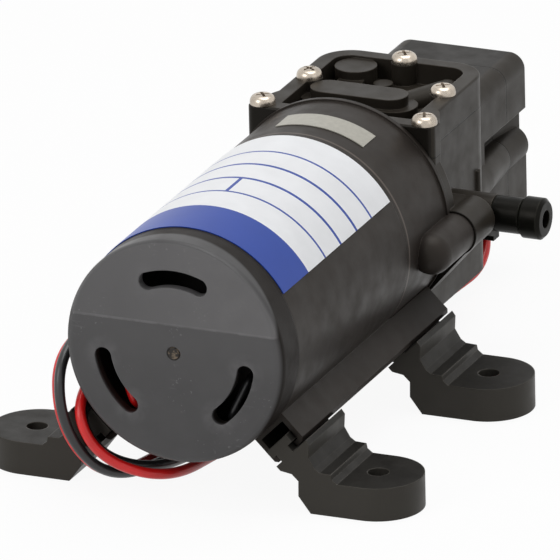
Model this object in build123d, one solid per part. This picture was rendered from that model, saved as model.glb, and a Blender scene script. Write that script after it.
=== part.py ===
from build123d import *
import math
import os

# Caravan water pump: a 12 V mini diaphragm pump on four sliding rubber feet.
# All sizes are in millimetres. X points to the right hose port, Y runs along the motor from the
# end cap to the pump head, and Z is up. The origin is the middle of the four foot holes, on the floor.
# Names ending in offset, inset, rise or drop are distances from a neighbour; the places they give
# are worked out further down.

# General
overrun = 2.0
same_body_gap = 0.05
body_radius = 26.0
ground_gap = 10.5
axis_height = body_radius + ground_gap

# Lengths along the motor axis, from the end cap to the switch cover
cap_length = 9.4
sleeve_length = 61.8
collar_length = 24.2
block_length = 41.5
compartment_length = 17.9
switch_cover_length = 12.4
rail_overhang = 21.7
foot_front_inset = 7.8
foot_rear_inset = 11.7

# End cap
cap_rim_fillet = 2.0
cap_wall = 2.6
cap_spigot_inset = 2.8
cap_bore_inset = 4.6
cap_spigot_length = 3.8
facet_height = 6.6
facet_depth = 1.0
vent_inset = 8.8
vent_width = 4.0
vent_span = 42.0
vent_count = 3
vent_first_angle = 90.0
gate_ring_radius = 1.65
gate_ring_width = 0.35
gate_ring_depth = 0.3
rear_bearing_radius = 5.5
rear_bearing_length = 4.0
rear_seat_wall = 2.0

# Motor sleeve and its two T-slot rails, which lie at 45 degrees below the axis
sleeve_wall = 1.4
rail_angle = 45.0
rail_root_depth = 0.8
rail_height = 7.2
rail_half_width = 4.8
rail_corner = 0.7
rail_lip = 1.2
rail_floor = 0.9
rail_channel_half_width = 3.6
rail_slot_half_width = 2.2
rail_gap = 0.1

# Labels
label_gap = 0.05
rating_label_thickness = 0.2
rating_label_half_angle = 59.0
rating_label_start_inset = 0.4
rating_label_end_inset = 0.8
date_label_offset = 6.7
date_label_width = 7.2
date_label_thickness = 0.18
date_label_left_angle = 18.0
date_label_right_angle = 30.0

# Motor can and magnets
can_wall = 1.3
can_start_inset = 0.8
can_end_inset = 1.0
magnet_inner_share = 0.75
magnet_half_angle = 60.0
magnet_overhang = 2.0

# Motor bracket, the collar with the front bearing
bracket_spigot_length = 4.0
bracket_wall = 4.5
web_start_offset = 1.5
web_thickness = 6.5
front_bearing_radius = 6.5
front_bearing_length = 5.0
shaft_hole_radius = 4.0
lip_height = 0.5
lip_width = 1.2
boss_offset_x = 1.4
boss_drop = 2.3
boss_radius = 4.8
boss_dome_centre_offset = 13.3
dowel_radius = 1.5
dowel_depth = 11.7
dowel_end_gap = 1.2
bracket_screw_inset = 3.1
bracket_screw_angle = 45.0
bracket_screw_count = 4
bracket_screw_grip = 5.0

# Rotor: shaft, armature, windings, commutator
shaft_radius = 1.6
shaft_end_gap = 0.4
shaft_rear_offset = 25.8
bearing_clearance = 0.02
air_gap = 1.5
armature_offset = 21.8
armature_end_inset = 12.0
armature_slots = 5
armature_slot_width = 3.0
armature_slot_depth = 6.0
winding_inset = 2.0
winding_inner_share = 0.36
winding_length = 6.0
winding_strand_share = 0.17
commutator_radius = 5.0
commutator_offset = 7.8
commutator_length = 7.0
commutator_groove = 0.5
commutator_groove_depth = 0.8

# Brush card, holders and brushes
card_hole_radius = 8.0
card_offset = 5.0
card_thickness = 1.5
brush_gap = 0.3
brush_outer_x = 11.0
brush_half_width = 2.0
brush_half_height = 1.5
brush_offset = 11.0
holder_wall = 0.8
holder_inner_x = 6.6
holder_outer_x = 13.0

# Eccentric drive
eccentric_throw = 1.0
hub_radius = 3.0
hub_offset = 13.8
hub_length = 8.0
weight_radius = 9.0
weight_offset = 9.8
weight_length = 4.0
crank_bearing_radius = 5.0
crank_bearing_offset = 15.3
crank_bearing_length = 6.0

# Connecting rod with its piston plate, and the diaphragm
rod_clearance = 0.3
rod_wall = 1.3
rod_ring_length = 6.0
stem_radius = 2.0
piston_radius = 5.0
piston_thickness = 1.4
diaphragm_inset = 2.75
diaphragm_thickness = 1.0
bead_width = 2.0
bead_gap = 0.1

# Crank housing, the moulded block of the pump head; its heights are taken from the motor axis
block_bottom_drop = 24.5
screw_cover_wall = 0.19
block_half_width = 19.5
block_corner = 8.0
ear_half_width = 22.6
ear_straight = 4.2
ear_length = 11.3
ear_corner = 1.5
ear_depth = 4.4
ear_foot_depth = 3.0
ear_foot_radius = 1.2
flange_length = 3.8
chamber_wall = 6.0
chamber_start_offset = 5.8
chamber_length = 23.0
chamber_bottom_drop = 21.0
chamber_top_rise = 9.5
chamber_mouth_inset = 6.5
pump_centre_offset = 18.3
throat_inset = 2.7
recess_gap = 0.1
recess_depth = 2.4
housing_boss_radius = 5.2
boss_port_gap = 6.0
gusset_foot_drop = 18.8
rib_offset = 32.4
rib_radius = 0.8
rib_bottom_drop = 5.1
rib_top_rise = 0.3
cheek_start_offset = 29.8
gusset_low_share = 0.35
gusset_out_share = 0.94
gusset_top_share = 0.95
gusset_in_share = 0.31

# Water passages in the block and the cover
passage_offset = 33.8
inlet_passage_x = -10.0
outlet_passage_x = 11.0
riser_radius = 1.5
gallery_radius = 1.2
gallery_inset = 3.0
sensing_rise = 3.5
passage_seal_outer_radius = 2.4
passage_seal_height = 0.8

# Rear compartment and switch cover
box_half_width = 15.7
box_bottom_drop = 23.5
box_top_rise = 14.5
box_corner = 3.8
box_wall = 2.2
box_front_wall = 1.5
box_rear_wall = 2.2
box_rear_fillet = 1.5
box_boss_inset = 3.7
box_boss_drop = 7.4
box_boss_radius = 4.4
pocket_start_offset = 3.8
pocket_slope_length = 2.0
pocket_rear_depth = 1.8
pocket_rise = 8.9

# Hose ports
port_offset = 17.0
port_drop = 3.1
socket_radius = 4.3
socket_offset = 3.1
spigot_radius = 2.9
spigot_length = 9.5
spigot_clearance = 0.05
stub_radius = 4.1
stub_gap = 0.1
stub_length = 6.4
nozzle_radius = 4.76
nozzle_length = 5.5
left_nozzle_length = 5.0
nozzle_chamfer = 0.8
port_bore_radius = 2.1
ring_position = 3.0
ring_groove_half_width = 0.6
ring_groove_depth = 0.5
clip_thickness = 1.0
clip_width = 2.8
clip_inset = 0.1
clip_tab_half_width = 1.6
clip_tab_drop = 6.2

# Valve cover; its heights are taken from the split between the block and the cover
cover_top_rise = 7.4
cover_floor_rise = 2.4
cover_rim = 3.8
cover_edge = 0.5
oblong_x = -2.6
oblong_offset = 17.7
oblong_half_length = 7.6
oblong_radius = 4.0
oblong_top_rise = 7.2
plinth_half_length = 8.6
plinth_radius = 5.2
plinth_top_rise = 4.8
disc_x = -10.0
disc_offset = 33.4
disc_radius = 4.8
disc_top_rise = 6.8
neck_half_width = 3.0
duct_radius = 3.2
duct_top_rise = 5.8
duct_start_x = 5.6
duct_start_offset = 21.8
duct_end_x = 12.1
duct_end_offset = 33.8
hump_x = -2.3
hump_offset = 30.8
hump_radius = 2.2
hump_top_rise = 4.4
chamber_offset = 5.5
valve_chamber_radius = 3.2
valve_chamber_top_rise = 5.2
cover_duct_rise = 3.4

# Valve plate and the two valves
plate_half_length = 8.0
plate_radius = 4.0
plate_pocket_gap = 0.05
plate_thickness = 1.8
plate_port_radius = 0.6
plate_port_circle = 1.5
plate_port_count = 4
valve_radius = 2.6
valve_thickness = 0.5
valve_gap = 0.05
valve_pocket_radius = 2.9
valve_pocket_depth = 1.15
valve_stem_radius = 0.5
valve_stem_length = 0.9
valve_stem_clearance = 0.05

# Screws
cover_screw_shank_radius = 1.5
cover_screw_hole_gap = 0.05
cover_screw_length = 14.0
cover_screw_head_radius = 2.95
cover_screw_head_height = 2.2
cross_width = 0.8
cross_length = 3.2
cross_depth = 1.1
front_screw_inset = 3.0
front_screw_offset = 2.3
side_screw_inset = 3.25
side_screw_offset = 21.3
rear_screw_inset = 3.7
screw_boss_radius = 3.0
small_screw_shank_radius = 1.5
small_screw_head_radius = 2.8
small_screw_head_height = 2.0
switch_screw_length = 22.0
switch_screw_recess = 2.4

# Pressure switch
membrane_radius = 5.0
membrane_thickness = 0.8
plunger_radius = 4.0
plunger_thickness = 1.5
plunger_gap = 0.1
plunger_stem_radius = 1.5
plunger_stem_length = 5.4
bridge_offset = 6.3
bridge_thickness = 1.2
bridge_half_height = 6.0
bridge_hole_gap = 0.05
spring_mean_radius = 2.6
spring_wire_radius = 0.25
spring_turns = 4
spring_end_gap = 0.05
micro_half_width = 6.4
micro_length = 6.5
micro_half_height = 2.9
micro_gap = 3.0
micro_button_radius = 0.7
micro_button_length = 0.6
spacer_radius = 0.9
spacer_x = 4.2
terminal_half_width = 0.9
terminal_thickness = 0.4
terminal_length = 3.0
terminal_spacing = 4.4

# Feet
foot_reach = 12.0
foot_inner_gap = 5.312
foot_hole_radius = 2.4
pad_thickness = 7.7
pad_radius = 10.3
saddle_gap = 0.3
tongue_step = 1.8
tongue_height = 3.9
tongue_half_width = 3.3
neck_tongue_half_width = 1.9
saddle_low = 3.8
saddle_high = 6.2

# Outline of a foot below its tongue: shares of the foot's reach and of the pad's thickness
foot_inner_shares = [
    (-0.59, 1.195),
    (-0.365, 1.14),
    (-0.235, 0.95),
    (-0.24, 0.49),
    (0.0, 0.0),
    (1.0, 0.0),
]
foot_outer_shares = [
    (1.0, 1.0),
    (0.53, 1.0),
    (0.43, 1.12),
    (0.41, 1.27),
    (0.19, 1.285),
    (0.09, 1.39),
    (-0.025, 1.69),
    (-0.01, 2.09),
]

# Leads and their glands
lead_diameter = 2.4
sleeve_gland_radius = 2.0
sleeve_gland_length = 6.0
box_gland_radius = 2.2
box_gland_length = 5.0
side_gland_radius = 1.6
side_gland_length = 4.5
tail_diameter = 1.8
tail_bend_radius = 2.5

# Hand-chosen routes of the leads, laid for a pump of these sizes
route_start_y = -49.2
route_end_y = 118.0
route_joint_y = 46.2
route_axis_height = 36.5
route_body_radius = 26.0
route_floor_limit = 9.0
supply_black_points = [
    (-17.2, 112.0, 22.5),
    (-30.5, 109.0, 20.9),
    (-28.5, 84.0, 20.4),
    (-27.0, 56.0, 21.2),
    (-28.4, 24.0, 25.5),
    (-28.0, -10.0, 31.5),
    (-29.5, -44.0, 33.3),
    (-27.8, -49.8, 16.8),
    (-19.4, -45.0, 2.6),
    (-11.5, -27.0, 1.3),
    (-12.4, -4.0, 1.3),
    (-16.0, 14.0, 1.3),
]
supply_red_points = [
    (-17.2, 112.0, 19.1),
    (-31.3, 109.4, 17.4),
    (-29.3, 84.0, 17.0),
    (-27.8, 56.0, 18.0),
    (-29.3, 25.0, 22.1),
    (-29.2, -9.0, 28.0),
    (-31.2, -41.6, 32.0),
    (-29.4, -47.1, 15.6),
    (-21.4, -42.2, 1.7),
    (-14.8, -26.4, 1.3),
    (-16.0, -6.0, 1.3),
    (-19.2, 10.0, 1.3),
]
motor_red_points = [
    (-24.8, -27.0, 24.6),
    (-25.5, -47.2, 23.6),
    (-20.6, -48.4, 9.4),
    (-4.0, -45.4, 4.4),
    (-2.5, -14.0, 1.3),
    (5.0, 20.0, 1.3),
    (7.4, 58.0, 1.3),
    (13.3, 84.0, 4.0),
    (14.9, 95.6, 7.9),
    (12.2, 100.3, 12.0),
]
motor_black_points = [
    (-23.9, -20.0, 21.3),
    (-26.2, -44.7, 20.6),
    (-21.1, -45.4, 8.4),
    (-8.4, -40.5, 4.5),
    (-6.5, -12.0, 1.3),
    (1.2, 21.0, 1.3),
    (3.6, 57.0, 1.3),
    (8.8, 83.0, 3.9),
    (9.9, 95.4, 7.8),
    (7.4, 100.3, 11.8),
]
red_tail_points = [
    (-15.0, -34.9, 31.0),
    (-15.3, -43.5, 30.2),
    (-11.2, -45.0, 20.8),
    (-10.5, -34.95, 20.2),
]

# Places along the axis; the feet set the origin
foot_hole_y = (sleeve_length + rail_overhang - foot_front_inset - foot_rear_inset) / 2
sleeve_start_y = -foot_hole_y - foot_front_inset
cap_start_y = sleeve_start_y - cap_length
collar_start_y = sleeve_start_y + sleeve_length
rail_end_y = collar_start_y + rail_overhang
joint_y = collar_start_y + collar_length
block_end_y = joint_y + block_length
switch_cover_start_y = block_end_y + compartment_length
switch_cover_end_y = switch_cover_start_y + switch_cover_length
card_start_y = sleeve_start_y + card_offset
brush_centre_y = sleeve_start_y + brush_offset
commutator_start_y = sleeve_start_y + commutator_offset
armature_start_y = sleeve_start_y + armature_offset
armature_end_y = collar_start_y - armature_end_inset
magnet_start_y = armature_start_y - magnet_overhang
magnet_end_y = armature_end_y + magnet_overhang
web_start_y = collar_start_y + web_start_offset
web_end_y = web_start_y + web_thickness
dowel_start_y = joint_y - dowel_depth
bracket_screw_end_y = joint_y + bracket_screw_grip
weight_start_y = joint_y + weight_offset
hub_start_y = joint_y + hub_offset
crank_bearing_start_y = joint_y + crank_bearing_offset
shaft_rear_y = joint_y + shaft_rear_offset
chamber_start_y = joint_y + chamber_start_offset
pump_centre_y = joint_y + pump_centre_offset
port_y = joint_y + port_offset
passage_y = joint_y + passage_offset
oblong_y = joint_y + oblong_offset
disc_y = joint_y + disc_offset
duct_start_y = joint_y + duct_start_offset
duct_end_y = joint_y + duct_end_offset
hump_y = joint_y + hump_offset
plunger_start_y = block_end_y + membrane_thickness + plunger_gap
bridge_start_y = block_end_y + bridge_offset
bridge_end_y = bridge_start_y + bridge_thickness
micro_start_y = bridge_end_y + micro_gap
housing_boss_length = port_offset - boss_port_gap

# Heights
bracket_bore_radius = body_radius - bracket_wall
bracket_screw_circle = bracket_bore_radius - bracket_screw_inset
bracket_screw_rise = bracket_screw_circle * math.cos(math.radians(bracket_screw_angle))
split_z = axis_height + bracket_screw_rise + small_screw_shank_radius + screw_cover_wall
block_bottom_z = axis_height - block_bottom_drop
boss_z = axis_height - boss_drop
chamber_bottom_z = axis_height - chamber_bottom_drop
chamber_top_z = axis_height + chamber_top_rise
recess_floor_z = split_z - recess_depth
gusset_foot_z = axis_height - gusset_foot_drop
rib_bottom_z = axis_height - rib_bottom_drop
rib_top_z = axis_height + rib_top_rise
sensing_z = axis_height + sensing_rise
box_bottom_z = axis_height - box_bottom_drop
box_top_z = axis_height + box_top_rise
box_boss_z = axis_height - box_boss_drop
port_z = axis_height - port_drop
cover_top_z = split_z + cover_top_rise
cover_floor_z = split_z + cover_floor_rise
oblong_top_z = split_z + oblong_top_rise
plinth_top_z = split_z + plinth_top_rise
disc_top_z = split_z + disc_top_rise
duct_top_z = split_z + duct_top_rise
hump_top_z = split_z + hump_top_rise
valve_chamber_top_z = split_z + valve_chamber_top_rise
cover_duct_z = split_z + cover_duct_rise
plate_top_z = split_z + plate_thickness

# Radii and places across
cap_spigot_radius = body_radius - cap_spigot_inset
cap_bore_radius = body_radius - cap_bore_inset
vent_radius = body_radius - vent_inset
sleeve_bore_radius = body_radius - sleeve_wall
can_inner_radius = sleeve_bore_radius - can_wall
magnet_inner_radius = can_inner_radius * magnet_inner_share
armature_radius = magnet_inner_radius - air_gap
winding_radius = armature_radius - winding_inset
winding_inner_radius = winding_radius * winding_inner_share
winding_strand_radius = winding_radius * winding_strand_share
brush_inner_x = commutator_radius + brush_gap
chamber_mouth_radius = bracket_bore_radius - chamber_mouth_inset
lip_radius = body_radius + lip_height
boss_x = body_radius + boss_offset_x
rail_root_radius = body_radius - rail_root_depth
rail_floor_radius = body_radius + rail_floor
rail_outer_radius = body_radius + rail_height
saddle_radius = rail_outer_radius + saddle_gap
tongue_step_radius = saddle_radius - tongue_step
tongue_inner_radius = saddle_radius - tongue_height
foot_inner_x = saddle_radius * math.cos(math.radians(rail_angle)) + foot_inner_gap
foot_hole_x = foot_inner_x + foot_reach
rod_bore_radius = crank_bearing_radius + 2 * eccentric_throw + rod_clearance
side_screw_x = block_half_width - side_screw_inset
diaphragm_radius = side_screw_x - diaphragm_inset
throat_radius = diaphragm_radius - throat_inset
recess_radius = diaphragm_radius + recess_gap
chamber_half_width = block_half_width - chamber_wall
gallery_x = block_half_width - gallery_inset
box_boss_x = box_half_width - box_boss_inset
inlet_chamber_x = oblong_x - chamber_offset
outlet_chamber_x = oblong_x + chamber_offset
front_screw_x = ear_half_width - front_screw_inset
bridge_hole_radius = plunger_stem_radius + bridge_hole_gap
socket_end_x = boss_x + socket_offset
spigot_start_x = socket_end_x - spigot_length
stub_start_x = socket_end_x + stub_gap
nozzle_start_x = stub_start_x + stub_length
nozzle_end_x = nozzle_start_x + nozzle_length
left_nozzle_end_x = stub_start_x + left_nozzle_length
ring_position_x = spigot_start_x + ring_position
clip_outer_radius = socket_radius + clip_thickness
clip_end_x = socket_end_x - clip_inset
clip_start_x = clip_end_x - clip_width


def bar_x(radius, start_x, end_x, y=0, z=0):
    """A round bar along X."""
    bar = Cylinder(radius, abs(end_x - start_x), rotation=(0, 90, 0))
    return Pos((start_x + end_x) / 2, y, z) * bar


def bar_y(radius, start_y, end_y, x=0, z=axis_height):
    """A round bar along Y, on the motor axis unless another place is given."""
    bar = Cylinder(radius, abs(end_y - start_y), rotation=(90, 0, 0))
    return Pos(x, (start_y + end_y) / 2, z) * bar


def bar_z(radius, start_z, end_z, x=0, y=0):
    """A round bar along Z."""
    return Pos(x, y, (start_z + end_z) / 2) * Cylinder(radius, abs(end_z - start_z))


def ring_y(outer, inner, start_y, end_y, x=0, z=axis_height):
    """A round tube along Y."""
    return bar_y(outer, start_y, end_y, x, z) - bar_y(inner, start_y - overrun, end_y + overrun, x, z)


def block(x_range, y_range, z_range):
    """A box between pairs of limits."""
    size = Box(x_range[1] - x_range[0], y_range[1] - y_range[0], z_range[1] - z_range[0])
    return Pos(sum(x_range) / 2, sum(y_range) / 2, sum(z_range) / 2) * size


def prism_x(points, start_x, end_x):
    """A prism along X from points given as (y, z)."""
    face = Plane.YZ.offset(start_x) * make_face(Polyline(*points, close=True))
    return extrude(face, amount=end_x - start_x)


def prism_y(points, start_y, end_y):
    """A prism along Y from points given as (x, z)."""
    face = Plane.XZ.offset(-end_y) * make_face(Polyline(*points, close=True))
    return extrude(face, amount=end_y - start_y)


def prism_z(points, start_z, end_z):
    """A prism along Z from points given as (x, y)."""
    face = Plane.XY.offset(start_z) * make_face(Polyline(*points, close=True))
    return extrude(face, amount=end_z - start_z)


def stadium(half_length, radius, start_z, end_z, x, y):
    """An upright stadium along X."""
    outline = SlotCenterToCenter(2 * half_length, 2 * radius)
    return Pos(x, y, start_z) * extrude(outline, amount=end_z - start_z)


def mirrored(shape):
    """The mirror image in the middle plane of the pump."""
    return mirror(shape, about=Plane.YZ)


def group(solids):
    """Separate solids that share one node."""
    return Compound(children=[solid for shape in solids for solid in shape.solids()])


def arc_strip(inner, outer, start_y, end_y, from_angle, to_angle):
    """A strip of a round tube about the motor axis; angles are from the top, positive to the right."""
    reach = 2 * outer
    middle = (from_angle + to_angle) / 2
    half = (to_angle - from_angle) / 2
    tip = [(0, 0)]
    for share in (-1.0, -0.5, 0.0, 0.5, 1.0):
        angle = math.radians(middle + half * share)
        tip.append((reach * math.sin(angle), reach * math.cos(angle)))
    wedge = Pos(0, 0, axis_height) * prism_y(tip, start_y, end_y)
    return ring_y(outer, inner, start_y, end_y) & wedge


def direction(start, end):
    """The unit vector from one point to another."""
    return (Vector(*end) - Vector(*start)).normalized()


def bar_between(start, end, radius):
    """A round bar from one point to another."""
    axis = Vector(*end) - Vector(*start)
    plane = Plane(origin=start, z_dir=axis)
    return extrude(plane * Circle(radius), amount=axis.length)


def rail_point(radial, across, side):
    """A point (x, z) given along and across the rail's radius; across is positive upwards."""
    angle = math.radians(rail_angle)
    x = radial * math.cos(angle) + across * math.sin(angle)
    z = axis_height - radial * math.sin(angle) + across * math.cos(angle)
    return (side * x, z)


def rail_prism(shape, start_y, end_y, side):
    """A prism along Y from points given in the rail's own directions."""
    return prism_y([rail_point(radial, across, side) for radial, across in shape], start_y, end_y)


def make_rail(side):
    """One T-slot rail; past the sleeve it lies under the collar, just clear of it."""
    outline = [
        (rail_root_radius, -rail_half_width),
        (rail_outer_radius - rail_corner, -rail_half_width),
        (rail_outer_radius, rail_corner - rail_half_width),
        (rail_outer_radius, rail_half_width - rail_corner),
        (rail_outer_radius - rail_corner, rail_half_width),
        (rail_root_radius, rail_half_width),
    ]
    rail = rail_prism(outline, sleeve_start_y, rail_end_y, side)
    throat = rail_outer_radius - rail_lip
    channel = [
        (rail_floor_radius, -rail_channel_half_width),
        (throat, -rail_channel_half_width),
        (throat, -rail_slot_half_width),
        (rail_outer_radius + overrun, -rail_slot_half_width),
        (rail_outer_radius + overrun, rail_slot_half_width),
        (throat, rail_slot_half_width),
        (throat, rail_channel_half_width),
        (rail_floor_radius, rail_channel_half_width),
    ]
    rail -= rail_prism(channel, sleeve_start_y - overrun, rail_end_y + overrun, side)
    return rail - bar_y(body_radius + rail_gap, collar_start_y, rail_end_y + overrun)


def shifted_out(x, z, distance):
    """A point (x, z) moved away from the motor axis, as the routes were laid for it."""
    height = z - route_axis_height
    radius = math.hypot(x, height)
    share = (radius + distance) / radius
    return x * share, axis_height + height * share


def laid(points):
    """A lead's route, which keeps its gaps to the jacket, the head and the floor as their sizes change."""
    motor_share = (joint_y - cap_start_y) / (route_joint_y - route_start_y)
    head_share = (switch_cover_end_y - joint_y) / (route_end_y - route_joint_y)
    route = []
    for x, y, z in points:
        length_share = motor_share if y < route_joint_y else head_share
        place_y = joint_y + (y - route_joint_y) * length_share
        if z > route_floor_limit and y < route_joint_y:
            x, z = shifted_out(x, z, body_radius - route_body_radius)
        elif z > route_floor_limit:
            z += axis_height - route_axis_height
        route.append((x, place_y, z))
    return route


supply_black_route = laid(supply_black_points)
supply_red_route = laid(supply_red_points)
motor_red_route = laid(motor_red_points)
motor_black_route = laid(motor_black_points)


def gland_parts(route, reverse=False):
    """The start of a lead's route: its end point, and the unit vector back into the housing."""
    ends = (route[-1], route[-2]) if reverse else (route[0], route[1])
    return Vector(*ends[0]), direction(ends[1], ends[0])


def make_gland(route, radius, length, reverse=False):
    """A round gland that ends face to face with a lead."""
    tip, inward = gland_parts(route, reverse)
    return extrude(Plane(origin=tip, z_dir=inward) * Circle(radius), amount=length)


def motor_glands():
    """The two glands let into the sleeve, which the motor leads come out of."""
    glands = []
    for route in (motor_red_route, motor_black_route):
        tip, inward = gland_parts(route)
        gland = make_gland(route, sleeve_gland_radius, sleeve_gland_length)
        gland += Pos(tip + inward * sleeve_gland_length) * Sphere(sleeve_gland_radius)
        glands.append(gland)
    return glands


def box_glands():
    """The two glands in the bottom of the rear compartment."""
    red = make_gland(motor_red_route, box_gland_radius, box_gland_length, reverse=True)
    black = make_gland(motor_black_route, box_gland_radius, box_gland_length, reverse=True)
    return [red, black]


def side_glands():
    """The two glands in the left side of the switch cover."""
    black = make_gland(supply_black_route, side_gland_radius, side_gland_length)
    red = make_gland(supply_red_route, side_gland_radius, side_gland_length)
    return [black, red]


def make_motor_sleeve():
    """The plastic jacket around the motor can, with the two rails."""
    sleeve = bar_y(body_radius, sleeve_start_y, collar_start_y)
    for side in (-1, 1):
        sleeve += make_rail(side)
    sleeve -= bar_y(sleeve_bore_radius, sleeve_start_y - overrun, collar_start_y + overrun)
    for gland in motor_glands():
        sleeve -= gland
    return sleeve


def vent(angle):
    """One arc-shaped vent slot, cut through the cap's face."""
    arc = CenterArc((0, 0), vent_radius, angle - vent_span / 2, vent_span)
    slot = SlotArc(arc, vent_width)
    face = Plane.XZ.offset(-(cap_start_y + cap_wall + overrun)) * slot
    return Pos(0, 0, axis_height) * extrude(face, amount=cap_wall + 2 * overrun)


def make_end_cap():
    """The round cover of the motor's free end, with a spigot inside the can."""
    cap = bar_y(body_radius, cap_start_y, sleeve_start_y)
    cap = fillet(cap.edges().group_by(Axis.Y)[0], cap_rim_fillet)
    cap += bar_y(cap_spigot_radius, sleeve_start_y - overrun, sleeve_start_y + cap_spigot_length)
    cap -= bar_y(cap_bore_radius, cap_start_y + cap_wall, sleeve_start_y + cap_spigot_length + overrun)
    seat_end_y = cap_start_y + cap_wall + rear_bearing_length
    cap += ring_y(
        rear_bearing_radius + rear_seat_wall, rear_bearing_radius, cap_start_y + cap_wall, seat_end_y
    )
    for index in range(vent_count):
        cap -= vent(vent_first_angle + index * 360 / vent_count)
    low_z = axis_height + facet_height
    top_z = axis_height + body_radius + overrun
    slope = facet_depth / (body_radius - facet_height)
    facet = [
        (cap_start_y - overrun, low_z),
        (cap_start_y, low_z),
        (cap_start_y + slope * (top_z - low_z), top_z),
        (cap_start_y - overrun, top_z),
    ]
    cap -= prism_x(facet, -body_radius, body_radius)
    gate_inner = gate_ring_radius - gate_ring_width
    cap -= ring_y(gate_ring_radius, gate_inner, cap_start_y - overrun, cap_start_y + gate_ring_depth)
    return cap


def make_rear_bearing():
    start_y = cap_start_y + cap_wall
    end_y = start_y + rear_bearing_length
    return ring_y(rear_bearing_radius, shaft_radius + bearing_clearance, start_y, end_y)


def make_motor_can():
    """The steel tube that carries the magnets."""
    return ring_y(
        sleeve_bore_radius, can_inner_radius, sleeve_start_y + can_start_inset, collar_start_y - can_end_inset
    )


def make_magnets():
    """Two arc magnets, left and right of the armature."""
    arc = (magnet_inner_radius, can_inner_radius, magnet_start_y, magnet_end_y)
    right = arc_strip(*arc, 90 - magnet_half_angle, 90 + magnet_half_angle)
    return group([right, mirrored(right)])


def make_rating_label():
    inner = body_radius + label_gap
    outer = inner + rating_label_thickness
    start_y = sleeve_start_y + rating_label_start_inset
    end_y = collar_start_y - rating_label_end_inset
    half = rating_label_half_angle
    return arc_strip(inner, outer, start_y, end_y, -half, half)


def make_date_label():
    inner = body_radius + label_gap
    outer = inner + date_label_thickness
    start_y = collar_start_y + date_label_offset
    end_y = start_y + date_label_width
    return arc_strip(inner, outer, start_y, end_y, -date_label_left_angle, date_label_right_angle)


def bracket_screw_places():
    """The places (x, z) of the screws that hold the bracket to the housing."""
    places = []
    for index in range(bracket_screw_count):
        angle = math.radians(bracket_screw_angle + index * 360 / bracket_screw_count)
        x = bracket_screw_circle * math.sin(angle)
        places.append((x, axis_height + bracket_screw_circle * math.cos(angle)))
    return places


def make_motor_bracket():
    """The collar between the motor and the head, with the front bearing and two blind bosses."""
    bracket = bar_y(body_radius, collar_start_y, joint_y)
    bracket += bar_y(lip_radius, joint_y - lip_width, joint_y)
    bracket += bar_y(cap_spigot_radius, collar_start_y - bracket_spigot_length, collar_start_y + overrun)
    dome_y = joint_y - boss_dome_centre_offset
    for side in (-1, 1):
        bracket += bar_y(boss_radius, dome_y, joint_y, side * boss_x, boss_z)
        bracket += Pos(side * boss_x, dome_y, boss_z) * Sphere(boss_radius)
    bracket -= bar_y(cap_bore_radius, collar_start_y - bracket_spigot_length - overrun, web_start_y)
    bracket -= bar_y(bracket_bore_radius, web_end_y, joint_y + overrun)
    bracket -= bar_y(shaft_hole_radius, web_start_y - overrun, web_end_y + overrun)
    bracket -= bar_y(front_bearing_radius, web_end_y - front_bearing_length, web_end_y + overrun)
    for side in (-1, 1):
        bracket -= bar_y(dowel_radius, dowel_start_y, joint_y + overrun, side * boss_x, boss_z)
    for x, z in bracket_screw_places():
        bracket -= bar_y(small_screw_shank_radius, web_start_y - overrun, web_end_y + overrun, x, z)
    return bracket


def make_front_bearing():
    inner = shaft_radius + bearing_clearance
    return ring_y(front_bearing_radius, inner, web_end_y - front_bearing_length, web_end_y)


def make_motor_shaft():
    start_y = cap_start_y + cap_wall + shaft_end_gap
    return bar_y(shaft_radius, start_y, shaft_rear_y)


def make_armature_core():
    """The slotted iron core, pressed on the shaft."""
    core = ring_y(armature_radius, shaft_radius, armature_start_y, armature_end_y)
    half = armature_slot_width / 2
    inner = armature_radius - armature_slot_depth
    outer = armature_radius + overrun
    cut = block((-half, half), (armature_start_y - overrun, armature_end_y + overrun), (inner, outer))
    for index in range(armature_slots):
        core -= Pos(0, 0, axis_height) * Rot(0, index * 360 / armature_slots, 0) * cut
    return core


def make_winding_end(start_y, end_y):
    """One ring of coil ends, with a lobe for each armature pole."""
    ring = ring_y(winding_radius - winding_strand_radius, winding_inner_radius, start_y, end_y)
    middle = winding_radius - winding_strand_radius
    for index in range(armature_slots):
        angle = math.radians((index + 0.5) * 360 / armature_slots)
        x = middle * math.sin(angle)
        z = axis_height + middle * math.cos(angle)
        ring += bar_y(winding_strand_radius, start_y, end_y, x, z)
    return ring


def make_windings():
    """The copper coil ends on both sides of the core."""
    front = make_winding_end(armature_start_y - winding_length, armature_start_y)
    rear = make_winding_end(armature_end_y, armature_end_y + winding_length)
    return group([front, rear])


def make_commutator():
    """The copper commutator, grooved into segments."""
    end_y = commutator_start_y + commutator_length
    drum = ring_y(commutator_radius, shaft_radius, commutator_start_y, end_y)
    half = commutator_groove / 2
    inner = commutator_radius - commutator_groove_depth
    outer = commutator_radius + overrun
    cut = block((-half, half), (commutator_start_y - overrun, end_y + overrun), (inner, outer))
    for index in range(armature_slots):
        drum -= Pos(0, 0, axis_height) * Rot(0, (index + 0.5) * 360 / armature_slots, 0) * cut
    return drum


def make_brush_card():
    """The round card that carries the brush holders, clamped at the end of the cap's spigot."""
    return ring_y(cap_spigot_radius, card_hole_radius, card_start_y, card_start_y + card_thickness)


def brush_limits(margin):
    """The Y and Z limits of a brush, widened by a margin."""
    y_range = (brush_centre_y - brush_half_width - margin, brush_centre_y + brush_half_width + margin)
    z_range = (axis_height - brush_half_height - margin, axis_height + brush_half_height + margin)
    return y_range, z_range


def make_brush_holders():
    """Two square brass tubes that stand on the card."""
    y_range, z_range = brush_limits(holder_wall)
    foot_y = card_start_y + card_thickness
    holder = block((holder_inner_x, holder_outer_x), (foot_y, y_range[1]), z_range)
    y_inner, z_inner = brush_limits(0)
    holder -= block((holder_inner_x - overrun, brush_outer_x), y_inner, z_inner)
    return group([holder, mirrored(holder)])


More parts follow.
